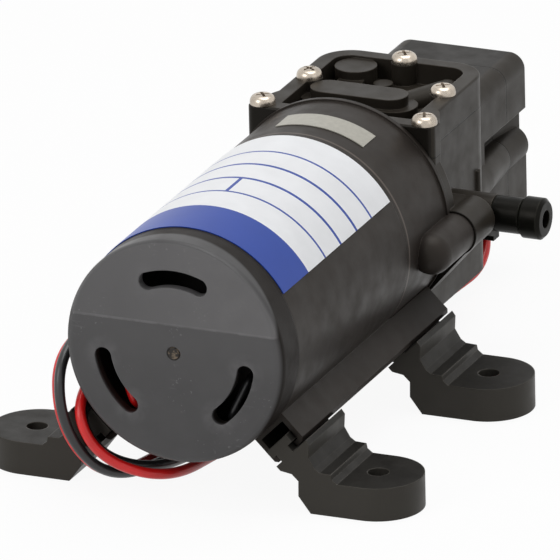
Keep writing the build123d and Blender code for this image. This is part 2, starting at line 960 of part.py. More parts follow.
def make_brushes():
    """Two carbon brushes, one on each side of the commutator."""
    y_range, z_range = brush_limits(0)
    brush = block((brush_inner_x, brush_outer_x), y_range, z_range)
    end_y = commutator_start_y + commutator_length + overrun
    brush -= bar_y(brush_inner_x, commutator_start_y - overrun, end_y)
    return group([brush, mirrored(brush)])


def make_eccentric():
    """The off-centre hub with its half-disc counterweight, pressed on the shaft."""
    hub_end_y = hub_start_y + hub_length
    hub = bar_y(hub_radius, weight_start_y, hub_end_y, eccentric_throw)
    weight = bar_y(weight_radius, weight_start_y, weight_start_y + weight_length)
    weight &= block(
        (-weight_radius - overrun, 0),
        (weight_start_y - overrun, hub_end_y),
        (axis_height - weight_radius - overrun, axis_height + weight_radius + overrun),
    )
    hub += bar_y(hub_radius + same_body_gap, weight_start_y, weight_start_y + weight_length)
    return hub + weight - bar_y(shaft_radius, weight_start_y - overrun, hub_end_y + overrun)


def make_crank_bearing():
    end_y = crank_bearing_start_y + crank_bearing_length
    return ring_y(crank_bearing_radius, hub_radius, crank_bearing_start_y, end_y, eccentric_throw)


def make_connecting_rod():
    """The rod's ring around the crank bearing, its stem, and the plate under the diaphragm."""
    start_y = pump_centre_y - rod_ring_length / 2
    end_y = pump_centre_y + rod_ring_length / 2
    outer = rod_bore_radius + rod_wall
    rod = bar_y(outer, start_y, end_y)
    rod += bar_z(stem_radius, axis_height + rod_bore_radius, recess_floor_z, 0, pump_centre_y)
    rod += bar_z(piston_radius, recess_floor_z - piston_thickness, recess_floor_z, 0, pump_centre_y)
    return rod - bar_y(rod_bore_radius, start_y - overrun, end_y + overrun)


def make_diaphragm():
    """The rubber disc with its clamped bead."""
    start_z = recess_floor_z
    disc = bar_z(diaphragm_radius, start_z, start_z + diaphragm_thickness, 0, pump_centre_y)
    bead = bar_z(diaphragm_radius, start_z, split_z - bead_gap, 0, pump_centre_y)
    bead -= bar_z(diaphragm_radius - bead_width, start_z, split_z + overrun, 0, pump_centre_y)
    return disc + bead


def head_outline(inset=0):
    """The plan of the head's top with its two front ears, as points from the front left."""
    ear = ear_half_width - inset
    side = block_half_width - inset
    front = joint_y + inset
    return [
        (-ear, front),
        (-ear, joint_y + ear_straight),
        (-side, joint_y + ear_length),
        (-side, block_end_y - inset),
        (side, block_end_y - inset),
        (side, joint_y + ear_length),
        (ear, joint_y + ear_straight),
        (ear, front),
    ]


def head_prism(start_z, end_z):
    """The head's plan with its rear and front corners rounded."""
    solid = prism_z(head_outline(), start_z, end_z)
    upright = solid.edges().filter_by(Axis.Z)
    rear = upright.group_by(Axis.Y)[-1]
    solid = fillet(rear, block_corner)
    front = solid.edges().filter_by(Axis.Z).group_by(Axis.Y)[0]
    return fillet(front, ear_corner)


def make_block():
    """The block of the crank housing with its front flange, ears and rear corners."""
    body = block((-block_half_width, block_half_width), (joint_y, block_end_y), (block_bottom_z, split_z))
    body = fillet(body.edges().filter_by(Axis.Z).group_by(Axis.Y)[-1], block_corner)
    flange = bar_y(body_radius, joint_y, joint_y + flange_length)
    above = split_z + body_radius
    flange -= block(
        (-body_radius - overrun, body_radius + overrun), (joint_y - overrun, block_end_y), (split_z, above)
    )
    body += flange
    ears = head_prism(split_z - ear_depth, split_z)
    body += ears
    for side in (-1, 1):
        foot = bar_z(
            cover_screw_shank_radius + ear_foot_radius,
            split_z - ear_depth - ear_foot_depth,
            split_z,
            side * front_screw_x,
            joint_y + cover_screw_shank_radius + ear_foot_radius,
        )
        body += foot
    return body


def make_side_details(side):
    """One side's screw boss with its gusset, the port socket, the small rib and the cheek."""
    boss_end_y = joint_y + housing_boss_length
    details = bar_y(housing_boss_radius, joint_y, boss_end_y, side * boss_x, boss_z)
    gusset = [
        (0, gusset_foot_z),
        (block_half_width, gusset_foot_z),
        (boss_x + housing_boss_radius * gusset_out_share, boss_z - housing_boss_radius * gusset_low_share),
        (boss_x + housing_boss_radius * gusset_in_share, boss_z + housing_boss_radius * gusset_top_share),
        (block_half_width, boss_z + housing_boss_radius),
        (0, boss_z + housing_boss_radius),
    ]
    web = prism_y([(side * x, z) for x, z in gusset], joint_y, boss_end_y)
    details += web
    socket_start_x = block_half_width - box_wall
    details += bar_x(socket_radius, side * socket_start_x, side * socket_end_x, port_y, port_z)
    details += bar_z(rib_radius, rib_bottom_z, rib_top_z, side * block_half_width, joint_y + rib_offset)
    details += make_cheek(side)
    place = (side * box_boss_x, box_boss_z)
    details += bar_y(box_boss_radius, block_end_y - overrun, switch_cover_start_y, *place)
    return details


def make_cheek(side):
    """The round swelling that leads from the block's side into the box's screw boss."""
    start = Vector(side * (block_half_width - box_boss_radius), joint_y + cheek_start_offset, box_boss_z)
    end = Vector(side * box_boss_x, switch_cover_start_y, box_boss_z)
    reach = (end - start).normalized() * box_boss_radius
    bar = bar_between((start - reach).to_tuple(), (end + reach).to_tuple(), box_boss_radius)
    x_range = (-block_half_width, block_half_width)
    z_range = (box_boss_z - box_boss_radius, box_boss_z + box_boss_radius)
    return bar & block(x_range, (start.Y, end.Y), z_range)


def side_pocket(side):
    """The hollow in the box's side over one screw boss, shallower towards the rear."""
    start_y = block_end_y + pocket_start_offset
    outer_x = box_half_width + overrun
    rear_x = box_half_width - pocket_rear_depth
    outline = [
        (side * outer_x, start_y),
        (side * box_boss_x, start_y + pocket_slope_length),
        (side * box_boss_x, switch_cover_start_y),
        (side * rear_x, switch_cover_end_y + overrun),
        (side * outer_x, switch_cover_end_y + overrun),
    ]
    return prism_z(outline, box_boss_z, box_boss_z + pocket_rise)


def pocket_wall(side):
    """The space that the pocket and the wall behind it take from the box's hollow."""
    x_range = sorted((side * (box_boss_x - box_wall), side * box_half_width))
    y_range = (block_end_y, switch_cover_end_y)
    return block(x_range, y_range, (box_boss_z, box_boss_z + pocket_rise + box_wall))


def box_shell(start_y, end_y):
    """The outer form of the rear box."""
    shell = block((-box_half_width, box_half_width), (start_y, end_y), (box_bottom_z, box_top_z))
    return fillet(shell.edges().filter_by(Axis.Y), box_corner)


def box_cavity(start_y, end_y):
    """The hollow of the rear box, which leaves its screw bosses standing."""
    x = box_half_width - box_wall
    cavity = block((-x, x), (start_y, end_y), (box_bottom_z + box_wall, box_top_z - box_wall))
    cavity = fillet(cavity.edges().filter_by(Axis.Y), box_corner - box_wall)
    for side in (-1, 1):
        cavity -= bar_y(box_boss_radius, start_y - overrun, end_y + overrun, side * box_boss_x, box_boss_z)
        cavity -= pocket_wall(side)
    return cavity


def screw_places():
    """The places (x, y) of the five cover screws."""
    places = []
    for side in (-1, 1):
        places.append((side * front_screw_x, joint_y + front_screw_offset))
        places.append((side * side_screw_x, joint_y + side_screw_offset))
    places.append((0, block_end_y - rear_screw_inset))
    return places


def cut_crank_chamber(body):
    """The chamber for the crank, open to the motor bracket, and the seat of the diaphragm."""
    chamber_end_y = chamber_start_y + chamber_length
    x_range = (-chamber_half_width, chamber_half_width)
    body -= block(x_range, (chamber_start_y, chamber_end_y), (chamber_bottom_z, chamber_top_z))
    body -= bar_y(chamber_mouth_radius, joint_y - overrun, chamber_start_y)
    body -= bar_z(throat_radius, chamber_top_z - overrun, recess_floor_z + overrun, 0, pump_centre_y)
    body -= bar_z(recess_radius, recess_floor_z, split_z + overrun, 0, pump_centre_y)
    return body


def cut_passages(body):
    """The water passages from the ports up to the cover, and the bore that feeds the switch."""
    seal_z = split_z - passage_seal_height
    for side, x in ((-1, inlet_passage_x), (1, outlet_passage_x)):
        body -= bar_z(riser_radius, port_z, split_z + overrun, x, passage_y)
        body -= bar_z(passage_seal_outer_radius, seal_z, split_z + overrun, x, passage_y)
        body -= bar_x(gallery_radius, x, side * (gallery_x + gallery_radius), passage_y, port_z)
        body -= bar_y(gallery_radius, port_y, passage_y, side * gallery_x, port_z)
        body -= bar_x(gallery_radius, side * gallery_x, side * (spigot_start_x + overrun), port_y, port_z)
        bore = spigot_radius + spigot_clearance
        start_x = side * (spigot_start_x - same_body_gap)
        body -= bar_x(bore, start_x, side * (socket_end_x + overrun), port_y, port_z)
    body -= bar_x(gallery_radius, 0, outlet_passage_x, passage_y, sensing_z)
    body -= bar_y(gallery_radius, passage_y, block_end_y + overrun, 0, sensing_z)
    return body


def make_crank_housing():
    """The moulded block of the head with everything that is one piece with it."""
    body = make_block()
    body += box_shell(block_end_y - overrun, switch_cover_start_y)
    for side in (-1, 1):
        body -= side_pocket(side)
        body += make_side_details(side)
    body -= box_cavity(block_end_y + box_front_wall, switch_cover_start_y + overrun)
    body = cut_crank_chamber(body)
    body = cut_passages(body)
    body -= bar_y(membrane_radius, block_end_y, block_end_y + box_front_wall + overrun, 0, sensing_z)
    hole = cover_screw_shank_radius
    for x, y in screw_places():
        body -= bar_z(hole, cover_top_z - cover_screw_length, split_z + overrun, x, y)
    for x, z in bracket_screw_places():
        body -= bar_y(small_screw_shank_radius, joint_y - overrun, bracket_screw_end_y, x, z)
    for side in (-1, 1):
        dowel_end_y = joint_y + housing_boss_length - dowel_end_gap
        body -= bar_y(dowel_radius, joint_y - overrun, dowel_end_y, side * boss_x, boss_z)
        tip_y = switch_cover_end_y - switch_screw_recess - switch_screw_length
        screw = (small_screw_shank_radius, tip_y, switch_cover_start_y + overrun)
        body -= bar_y(*screw, side * box_boss_x, box_boss_z)
    for gland in box_glands():
        body -= gland
    return body


def make_cover_forms():
    """The raised forms inside the cover's rim: plinth, oblong, disc with its neck, duct and hump."""
    floor = cover_floor_z - overrun / 2
    forms = stadium(plinth_half_length, plinth_radius, floor, plinth_top_z, oblong_x, oblong_y)
    forms += stadium(oblong_half_length, oblong_radius, floor, oblong_top_z, oblong_x, oblong_y)
    forms += bar_z(disc_radius, floor, disc_top_z, disc_x, disc_y)
    neck = [
        (disc_x - neck_half_width, disc_y),
        (disc_x + neck_half_width, disc_y),
        (oblong_x - chamber_offset + neck_half_width, oblong_y),
        (oblong_x - chamber_offset - neck_half_width, oblong_y),
    ]
    forms += prism_z(neck, floor, plinth_top_z)
    ridge_z = duct_top_z - duct_radius
    start = (duct_start_x, duct_start_y, ridge_z)
    end = (duct_end_x, duct_end_y, ridge_z)
    forms += bar_between(start, end, duct_radius)
    forms += bar_z(duct_radius, floor, ridge_z, duct_end_x, duct_end_y)
    forms += Pos(*end) * Sphere(duct_radius)
    forms += bar_z(hump_radius, floor, hump_top_z, hump_x, hump_y)
    return forms


def make_valve_cover():
    """The cover of the head: a rimmed plate with moulded chambers and ducts."""
    cover = head_prism(split_z, cover_top_z)
    cover = fillet(cover.faces().sort_by(Axis.Z)[-1].edges(), cover_edge)
    inner = block(
        (cover_rim - block_half_width, block_half_width - cover_rim),
        (joint_y + cover_rim, block_end_y - cover_rim),
        (cover_floor_z, cover_top_z + overrun),
    )
    inner = fillet(inner.edges().filter_by(Axis.Z).group_by(Axis.Y)[-1], block_corner - cover_rim)
    well = inner
    for x, y in screw_places():
        well -= bar_z(screw_boss_radius, cover_floor_z - overrun, cover_top_z + 2 * overrun, x, y)
    cover -= well
    forms = make_cover_forms()
    forms &= inner + Pos(0, 0, -overrun) * inner
    cover += forms
    cover -= stadium(
        plate_half_length,
        plate_radius + plate_pocket_gap,
        split_z - overrun,
        split_z + plate_thickness,
        oblong_x,
        oblong_y,
    )
    for side, x in ((-1, inlet_passage_x), (1, outlet_passage_x)):
        chamber_x = oblong_x + side * chamber_offset
        cover -= bar_z(valve_chamber_radius, split_z, valve_chamber_top_z, chamber_x, oblong_y)
        cover -= bar_z(riser_radius, split_z - overrun, cover_duct_z, x, passage_y)
        duct_end = (x, passage_y, cover_duct_z)
        cover -= bar_between((chamber_x, oblong_y, cover_duct_z), duct_end, gallery_radius)
    for x, y in screw_places():
        cover -= bar_z(
            cover_screw_shank_radius + cover_screw_hole_gap, split_z - overrun, cover_top_z + overrun, x, y
        )
    return cover


def make_pan_screw(shank_radius, length, head_radius, head_height):
    """A pan-head screw along -Z from the underside of its head at the origin."""
    head = Cylinder(head_radius, head_height, align=(Align.CENTER, Align.CENTER, Align.MIN))
    dome = head_radius * head_radius / head_height
    sphere_radius = (dome + head_height) / 2
    head &= Pos(0, 0, head_height - sphere_radius) * Sphere(sphere_radius)
    half_width = cross_width / 2
    half_length = cross_length / 2
    z_range = (head_height - cross_depth, head_height + overrun)
    head -= block((-half_width, half_width), (-half_length, half_length), z_range)
    head -= block((-half_length, half_length), (-half_width, half_width), z_range)
    shank = Cylinder(shank_radius, length, align=(Align.CENTER, Align.CENTER, Align.MAX))
    return head + shank


def make_cover_screws():
    """Five pan-head screws with a cross recess."""
    screw = make_pan_screw(
        cover_screw_shank_radius, cover_screw_length, cover_screw_head_radius, cover_screw_head_height
    )
    return group([Pos(x, y, cover_top_z) * screw for x, y in screw_places()])


def make_rear_screws(x, z, seat_y, length):
    """A left and a right screw, driven from the rear along -Y."""
    screw = make_pan_screw(small_screw_shank_radius, length, small_screw_head_radius, small_screw_head_height)
    placed = Pos(x, seat_y, z) * Rot(-90, 0, 0) * screw
    return group([placed, mirrored(placed)])


def make_bracket_screws():
    """Four long screws, driven from the motor's side through the web into the housing."""
    screw = make_pan_screw(
        small_screw_shank_radius,
        bracket_screw_end_y - web_start_y,
        small_screw_head_radius,
        small_screw_head_height,
    )
    return group([Pos(x, web_start_y, z) * Rot(90, 0, 0) * screw for x, z in bracket_screw_places()])


def make_dowels():
    """Two steel pins that line the bracket's bosses up with the housing's."""
    end_y = joint_y + housing_boss_length - dowel_end_gap
    dowel = bar_y(dowel_radius, dowel_start_y, end_y, boss_x, boss_z)
    return group([dowel, mirrored(dowel)])


def make_switch_screws():
    seat_y = switch_cover_end_y - switch_screw_recess
    return make_rear_screws(box_boss_x, box_boss_z, seat_y, switch_screw_length)


def make_switch_cover():
    """The outer half of the rear box, which holds the pressure switch."""
    cover = box_shell(switch_cover_start_y, switch_cover_end_y)
    rear = cover.faces().sort_by(Axis.Y)[-1]
    cover = fillet(rear.edges(), box_rear_fillet)
    boss_end_y = switch_cover_end_y - box_rear_fillet
    for side in (-1, 1):
        cover -= side_pocket(side)
        cover += bar_y(box_boss_radius, switch_cover_start_y, boss_end_y, side * box_boss_x, box_boss_z)
    cover -= box_cavity(switch_cover_start_y - overrun, switch_cover_end_y - box_rear_wall)
    for side in (-1, 1):
        place = (side * box_boss_x, box_boss_z)
        cover -= bar_y(small_screw_shank_radius, switch_cover_start_y - overrun, switch_cover_end_y, *place)
        seat_y = switch_cover_end_y - switch_screw_recess
        cover -= bar_y(small_screw_head_radius + same_body_gap, seat_y, switch_cover_end_y + overrun, *place)
    for gland in side_glands():
        cover -= gland
    return cover


def make_port(side, start_x, end_x):
    """A hose port: a spigot that plugs into the socket, a stub if there is one, and a wider nozzle."""
    port = bar_x(spigot_radius, side * spigot_start_x, side * stub_start_x, port_y, port_z)
    if start_x > stub_start_x:
        port += bar_x(stub_radius, side * stub_start_x, side * start_x, port_y, port_z)
    nozzle = bar_x(nozzle_radius, side * start_x, side * end_x, port_y, port_z)
    nozzle = chamfer(nozzle.edges().filter_by(GeomType.CIRCLE), nozzle_chamfer)
    port += nozzle
    bore_start_x = side * (spigot_start_x - overrun)
    port -= bar_x(port_bore_radius, bore_start_x, side * (end_x + overrun), port_y, port_z)
    groove_radius = spigot_radius - ring_groove_depth
    groove_start_x = side * (ring_position_x - ring_groove_half_width)
    groove_end_x = side * (ring_position_x + ring_groove_half_width)
    groove = bar_x(spigot_radius + overrun, groove_start_x, groove_end_x, port_y, port_z)
    groove -= bar_x(groove_radius, groove_start_x, groove_end_x, port_y, port_z)
    return port - groove


def make_port_seals():
    """An O-ring in the groove of each port."""
    rings = []
    groove_radius = spigot_radius - ring_groove_depth
    for side in (-1, 1):
        start_x = side * (ring_position_x - ring_groove_half_width)
        end_x = side * (ring_position_x + ring_groove_half_width)
        ring = bar_x(spigot_radius + spigot_clearance, start_x, end_x, port_y, port_z)
        ring -= bar_x(groove_radius, start_x, end_x, port_y, port_z)
        rings.append(ring)
    return group(rings)


def make_port_clips():
    """A half-round clip under each socket, with a small tab."""
    clips = []
    for side in (-1, 1):
        start_x = side * clip_start_x
        end_x = side * clip_end_x
        ring = bar_x(clip_outer_radius, start_x, end_x, port_y, port_z)
        x_range = sorted((start_x, end_x))
        tab_y = (port_y - clip_tab_half_width, port_y + clip_tab_half_width)
        ring += block(x_range, tab_y, (port_z - clip_tab_drop, port_z))
        ring -= bar_x(socket_radius, start_x, end_x, port_y, port_z)
        reach = clip_outer_radius + overrun
        ring -= block(x_range, (port_y - reach, port_y + reach), (port_z, port_z + reach))
        clips.append(ring)
    return group(clips)


def make_passage_seals():
    """A small sealing ring around each riser, under the cover."""
    rings = []
    for x in (inlet_passage_x, outlet_passage_x):
        ring = bar_z(passage_seal_outer_radius, split_z - passage_seal_height, split_z, x, passage_y)
        ring -= bar_z(riser_radius, split_z - passage_seal_height, split_z + overrun, x, passage_y)
        rings.append(ring)
    return group(rings)


def make_valve_plate():
    """The plate with the port holes, a pocket for each valve disc and a hole for its stem."""
    plate = stadium(plate_half_length, plate_radius, split_z, plate_top_z, oblong_x, oblong_y)
    stem_hole = valve_stem_radius + valve_stem_clearance
    for x in (inlet_chamber_x, outlet_chamber_x):
        for index in range(plate_port_count):
            angle = math.radians(index * 360 / plate_port_count)
            hole_x = x + plate_port_circle * math.cos(angle)
            hole_y = oblong_y + plate_port_circle * math.sin(angle)
            plate -= bar_z(plate_port_radius, split_z - overrun, plate_top_z + overrun, hole_x, hole_y)
        plate -= bar_z(stem_hole, split_z - overrun, plate_top_z + overrun, x, oblong_y)
    plate -= bar_z(
        valve_pocket_radius, split_z - overrun, split_z + valve_pocket_depth, inlet_chamber_x, oblong_y
    )
    return plate


def make_inlet_valve():
    """The disc under the plate that opens downwards, with its stem."""
    top_z = split_z + valve_pocket_depth - valve_gap
    valve = bar_z(valve_radius, top_z - valve_thickness, top_z, inlet_chamber_x, oblong_y)
    return valve + bar_z(valve_stem_radius, top_z, plate_top_z + valve_stem_length, inlet_chamber_x, oblong_y)


def make_outlet_valve():
    """The disc on the plate that opens upwards, with its stem."""
    low_z = plate_top_z + valve_gap
    valve = bar_z(valve_radius, low_z, low_z + valve_thickness, outlet_chamber_x, oblong_y)
    return valve + bar_z(valve_stem_radius, low_z - valve_stem_length, low_z, outlet_chamber_x, oblong_y)


def make_switch_membrane():
    """The rubber disc that the water pressure pushes to the rear."""
    return bar_y(membrane_radius, block_end_y, block_end_y + membrane_thickness, 0, sensing_z)


def make_switch_plunger():
    """The disc on the membrane and the stem that reaches the micro switch."""
    head_end_y = plunger_start_y + plunger_thickness
    plunger = bar_y(plunger_radius, plunger_start_y, head_end_y, 0, sensing_z)
    stem_end_y = head_end_y + plunger_stem_length
    return plunger + bar_y(plunger_stem_radius, plunger_start_y, stem_end_y, 0, sensing_z)


def make_plunger_spring():
    """The coil spring between the plunger's disc and the bridge."""
    start_y = plunger_start_y + plunger_thickness + spring_wire_radius + spring_end_gap
    end_y = bridge_start_y - spring_wire_radius - spring_end_gap
    height = end_y - start_y
    coil = Helix(pitch=height / spring_turns, height=height, radius=spring_mean_radius)
    profile = Plane(origin=coil @ 0, z_dir=coil % 0) * Circle(spring_wire_radius)
    spring = sweep(profile, path=coil, is_frenet=True)
    return Pos(0, start_y, sensing_z) * Rot(-90, 0, 0) * spring


def make_switch_bridge():
    """The plate across the box that guides the plunger and carries the micro switch."""
    x = box_half_width - box_wall
    z_range = (sensing_z - bridge_half_height, sensing_z + bridge_half_height)
    bridge = block((-x, x), (bridge_start_y, bridge_end_y), z_range)
    bridge -= bar_y(bridge_hole_radius, bridge_start_y - overrun, bridge_end_y + overrun, 0, sensing_z)
    for side in (-1, 1):
        bridge -= pocket_wall(side)
    for side in (-1, 1):
        bridge += bar_y(spacer_radius, bridge_start_y, micro_start_y, side * spacer_x, sensing_z)
    return bridge


def make_micro_switch():
    """The micro switch with its button and three terminals."""
    end_y = micro_start_y + micro_length
    z_range = (sensing_z - micro_half_height, sensing_z + micro_half_height)
    switch = block((-micro_half_width, micro_half_width), (micro_start_y, end_y), z_range)
    button_y = micro_start_y - micro_button_length
    switch += bar_y(micro_button_radius, button_y, micro_start_y + overrun, 0, sensing_z)
    for step in (-1, 0, 1):
        x = step * terminal_spacing
        half = terminal_thickness / 2
        switch += block(
            (x - half, x + half),
            (end_y - overrun, end_y + terminal_length),
            (sensing_z - terminal_half_width, sensing_z + terminal_half_width),
        )
    return switch


def foot_profile():
    """The right foot's section (x, z): tongue, saddle, outer step, pad and inner toe."""
    tongue = [
        (tongue_inner_radius, tongue_half_width),
        (tongue_inner_radius, -tongue_half_width),
        (tongue_step_radius, -tongue_half_width),
        (tongue_step_radius, -neck_tongue_half_width),
        (saddle_radius, -neck_tongue_half_width),
        (saddle_radius, -saddle_low),
    ]
    points = [rail_point(radial, across, 1) for radial, across in tongue]
    reach = foot_hole_x - foot_inner_x
    for along_share, up_share in foot_inner_shares + foot_outer_shares:
        points.append((foot_inner_x + reach * along_share, pad_thickness * up_share))
    closing = [
        rail_point(saddle_radius, saddle_high, 1),
        rail_point(saddle_radius, neck_tongue_half_width, 1),
        rail_point(tongue_step_radius, neck_tongue_half_width, 1),
        rail_point(tongue_step_radius, tongue_half_width, 1),
    ]
    return points + closing


def make_foot(side, along):
    """A rubber foot; side is left or right and along is the front or rear hole."""
    centre_y = along * foot_hole_y
    foot = prism_y(foot_profile(), centre_y - pad_radius, centre_y + pad_radius)
    foot += bar_z(pad_radius, 0, pad_thickness, foot_hole_x, centre_y)
    foot -= bar_z(foot_hole_radius, -overrun, pad_thickness + overrun, foot_hole_x, centre_y)
    return foot if side > 0 else mirrored(foot)


def lead_path(route):
    """Straight runs joined by tangent arcs, one arc at each inner point of the route."""
    points = [Vector(*point) for point in route]
    arc_share = 0.45
    radii = []
    for before, corner, after in zip(points, points[1:], points[2:]):
        run_in = corner - before
        run_out = after - corner
        turn = math.radians(run_in.get_angle(run_out))
        shorter = min(run_in.length, run_out.length)
        radii.append(arc_share * shorter / math.tan(turn / 2))
    return FilletPolyline(*points, radius=radii), radii


def make_lead(route):
    """A round lead along its route."""
    path, radii = lead_path(route)
    section = Plane(origin=path @ 0, z_dir=path % 0) * Circle(lead_diameter / 2)
    lead = sweep(section, path=path)
    area = math.pi * (lead_diameter / 2) ** 2
    smallest = min(radii)
    print(f"lead: length {path.length:.1f}, smallest radius {smallest:.1f},", end=" ")
    print(f"volume {lead.volume:.1f} against {area * path.length:.1f}")
    return lead


def make_brush_tail(side):
    """The lead from one brush holder to its gland, along the inside of the cap."""
    points = []
    for x, y, z in red_tail_points:
        x, z = shifted_out(x, z, body_radius - route_body_radius)
        points.append(Vector(-side * x, cap_start_y + y - route_start_y, z))
    path = FilletPolyline(*points, radius=tail_bend_radius)
    section = Plane(origin=path @ 0, z_dir=path % 0) * Circle(tail_diameter / 2)
    return sweep(section, path=path)


parts = {
    "end_cap": make_end_cap(),
    "rear_bearing": make_rear_bearing(),
    "motor_sleeve": make_motor_sleeve(),
    "motor_can": make_motor_can(),
    "magnets": make_magnets(),
    "rating_label": make_rating_label(),
    "date_label": make_date_label(),
    "motor_bracket": make_motor_bracket(),
    "front_bearing": make_front_bearing(),
    "motor_shaft": make_motor_shaft(),
    "armature_core": make_armature_core(),
    "windings": make_windings(),
    "commutator": make_commutator(),
    "brush_card": make_brush_card(),
    "brush_holders": make_brush_holders(),
    "brushes": make_brushes(),
    "brush_tail_red": make_brush_tail(-1),
    "brush_tail_black": make_brush_tail(1),
    "eccentric": make_eccentric(),
    "crank_bearing": make_crank_bearing(),
    "connecting_rod": make_connecting_rod(),
    "diaphragm": make_diaphragm(),
    "crank_housing": make_crank_housing(),
    "valve_cover": make_valve_cover(),
    "cover_screws": make_cover_screws(),
    "bracket_screws": make_bracket_screws(),
    "dowels": make_dowels(),
    "switch_screws": make_switch_screws(),
    "switch_cover": make_switch_cover(),
    "right_port": make_port(1, nozzle_start_x, nozzle_end_x),
    "left_port": make_port(-1, stub_start_x, left_nozzle_end_x),
    "port_seals": make_port_seals(),
    "port_clips": make_port_clips(),
    "passage_seals": make_passage_seals(),
    "valve_plate": make_valve_plate(),
    "inlet_valve": make_inlet_valve(),
    "outlet_valve": make_outlet_valve(),
    "switch_membrane": make_switch_membrane(),
    "switch_plunger": make_switch_plunger(),
    "plunger_spring": make_plunger_spring(),
    "switch_bridge": make_switch_bridge(),
    "micro_switch": make_micro_switch(),
    "motor_glands": group(motor_glands()),
    "box_glands": group(box_glands()),
    "side_glands": group(side_glands()),
    "foot_front_right": make_foot(1, -1),
    "foot_front_left": make_foot(-1, -1),
    "foot_rear_right": make_foot(1, 1),
    "foot_rear_left": make_foot(-1, 1),
    "supply_lead_black": make_lead(supply_black_route),
    "supply_lead_red": make_lead(supply_red_route),
    "motor_lead_red": make_lead(motor_red_route),
    "motor_lead_black": make_lead(motor_black_route),
}

os.makedirs("parts", exist_ok=True)
for name, shape in parts.items():
    export_step(shape, f"parts/{name}.step")
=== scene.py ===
"""Looks of the small caravan water pump: finishes, leads, screws and the light round it."""

import math

import bmesh
import bpy
from mathutils import Matrix, Vector


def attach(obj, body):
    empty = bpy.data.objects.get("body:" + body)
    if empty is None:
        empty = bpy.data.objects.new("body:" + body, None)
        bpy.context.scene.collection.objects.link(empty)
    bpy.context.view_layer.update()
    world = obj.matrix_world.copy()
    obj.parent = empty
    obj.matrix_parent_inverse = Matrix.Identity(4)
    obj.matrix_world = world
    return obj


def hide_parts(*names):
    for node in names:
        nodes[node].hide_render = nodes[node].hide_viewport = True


MM = 0.001
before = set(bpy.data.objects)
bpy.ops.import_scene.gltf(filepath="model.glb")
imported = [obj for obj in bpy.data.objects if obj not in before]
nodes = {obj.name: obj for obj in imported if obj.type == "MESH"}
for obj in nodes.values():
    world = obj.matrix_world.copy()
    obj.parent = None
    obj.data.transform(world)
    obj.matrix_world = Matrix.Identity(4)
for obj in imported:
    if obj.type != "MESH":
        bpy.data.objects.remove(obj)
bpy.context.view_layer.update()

# Places on the pump, in millimetres.
AXIS_Z = 36.5
MOTOR_RADIUS = 26.0
SLEEVE_END_Y = 23.5
BRACKET_END_Y = 46.2
COVER_JOINT_Z = 51.2
BOX_JOINT_Y = 105.6
COVER_TOP_Z = 58.6
BOX_FACE_Y = 115.6

# The rating label: its ends in mm, the shares of its length where the band ends and the rules lie, and
# the divider's place and half width in mm.
LABEL_START = -39.4
LABEL_END = 21.2
BAND_TOP = 0.227
RULES = [0.386, 0.533, 0.682, 0.821]
RULE_HALF = 0.0070
DIVIDER_X = -1.0
DIVIDER_HALF = 0.42

# The end cap's face, its crease, the part above it that leans back, its gate mark and its vents. The lean is
# the finish's own, painted: the solid leans back less than the photograph, and painted shade on the rim makes up
# the rest.
FACE_Y = -49.2
FACE_EDGE = 0.55
CREASE_Z = 43.1
FACET_LEAN = 0.26
GATE_RADIUS = 1.7
GATE_SOFT = 0.35
VENT_RADIUS = 17.2
VENT_MIDDLES = (90, 210, 330)
VENT_HALF_ANGLE = 22

# Colours in linear light.
CAP_GREY = (0.0620, 0.0605, 0.0615)
GATE_DARK = (0.014, 0.011, 0.008)
GATE_RUST = (0.150, 0.115, 0.080)
JACKET_BLACK = (0.0235, 0.0195, 0.0170)
HEAD_BLACK = (0.0205, 0.0172, 0.0135)
PORT_BLACK = (0.0042, 0.0042, 0.0034)
FOOT_BLACK = (0.0085, 0.0079, 0.0069)
SEAL_BLACK = (0.016, 0.016, 0.017)
INNER_BLACK = (0.022, 0.021, 0.020)
WARM_SHEEN = (1.0, 0.94, 0.85)
LABEL_WHITE = (0.86, 0.87, 0.89)
LABEL_BLUE = (0.013, 0.056, 0.350)
LABEL_SILVER = (0.40, 0.385, 0.335)
NICKEL = (0.49, 0.43, 0.36)
# Real grime with painted shade, for the screws' cross recesses.
GRIME_AND_SHADE = (0.150, 0.125, 0.100)
STEEL = (0.62, 0.62, 0.63)
ZINC = (0.52, 0.53, 0.55)
LAMINATION = (0.40, 0.41, 0.43)
FERRITE = (0.09, 0.09, 0.095)
COPPER = (0.68, 0.30, 0.16)
ENAMEL = (0.52, 0.17, 0.06)
BRASS = (0.72, 0.55, 0.26)
CARBON = (0.045, 0.045, 0.048)
SHEATH_RED = (0.68, 0.010, 0.010)
SHEATH_BLACK = (0.016, 0.016, 0.017)
CREAM = (0.72, 0.71, 0.66)
TIN = (0.66, 0.65, 0.63)
FLOOR_PALE = (0.90, 0.90, 0.90)
WHITE = (1.0, 1.0, 1.0, 1.0)

# Lead routes in millimetres: the solids' own, but for the ends of the two motor leads, which were moved to go
# behind the bracket as in the photograph. The lengths are those of the solids.
LEAD_DIAMETER = 2.4
SUPPLY_BLACK_ROUTE = [
    (-17.2, 112, 22.5), (-30.5, 109, 20.9), (-28.5, 84, 20.4), (-27, 56, 21.2), (-28.4, 24, 25.5),
    (-28, -10, 31.5), (-29.5, -44, 33.3), (-27.8, -49.8, 16.8), (-19.4, -45, 2.6), (-11.5, -27, 1.3),
    (-12.4, -4, 1.3), (-16, 14, 1.3),
]
SUPPLY_RED_ROUTE = [
    (-17.2, 112, 19.1), (-31.3, 109.4, 17.4), (-29.3, 84, 17), (-27.8, 56, 18), (-29.3, 25, 22.1),
    (-29.2, -9, 28), (-31.2, -41.6, 32), (-29.4, -47.1, 15.6), (-21.4, -42.2, 1.7), (-14.8, -26.4, 1.3),
    (-16, -6, 1.3), (-19.2, 10, 1.3),
]
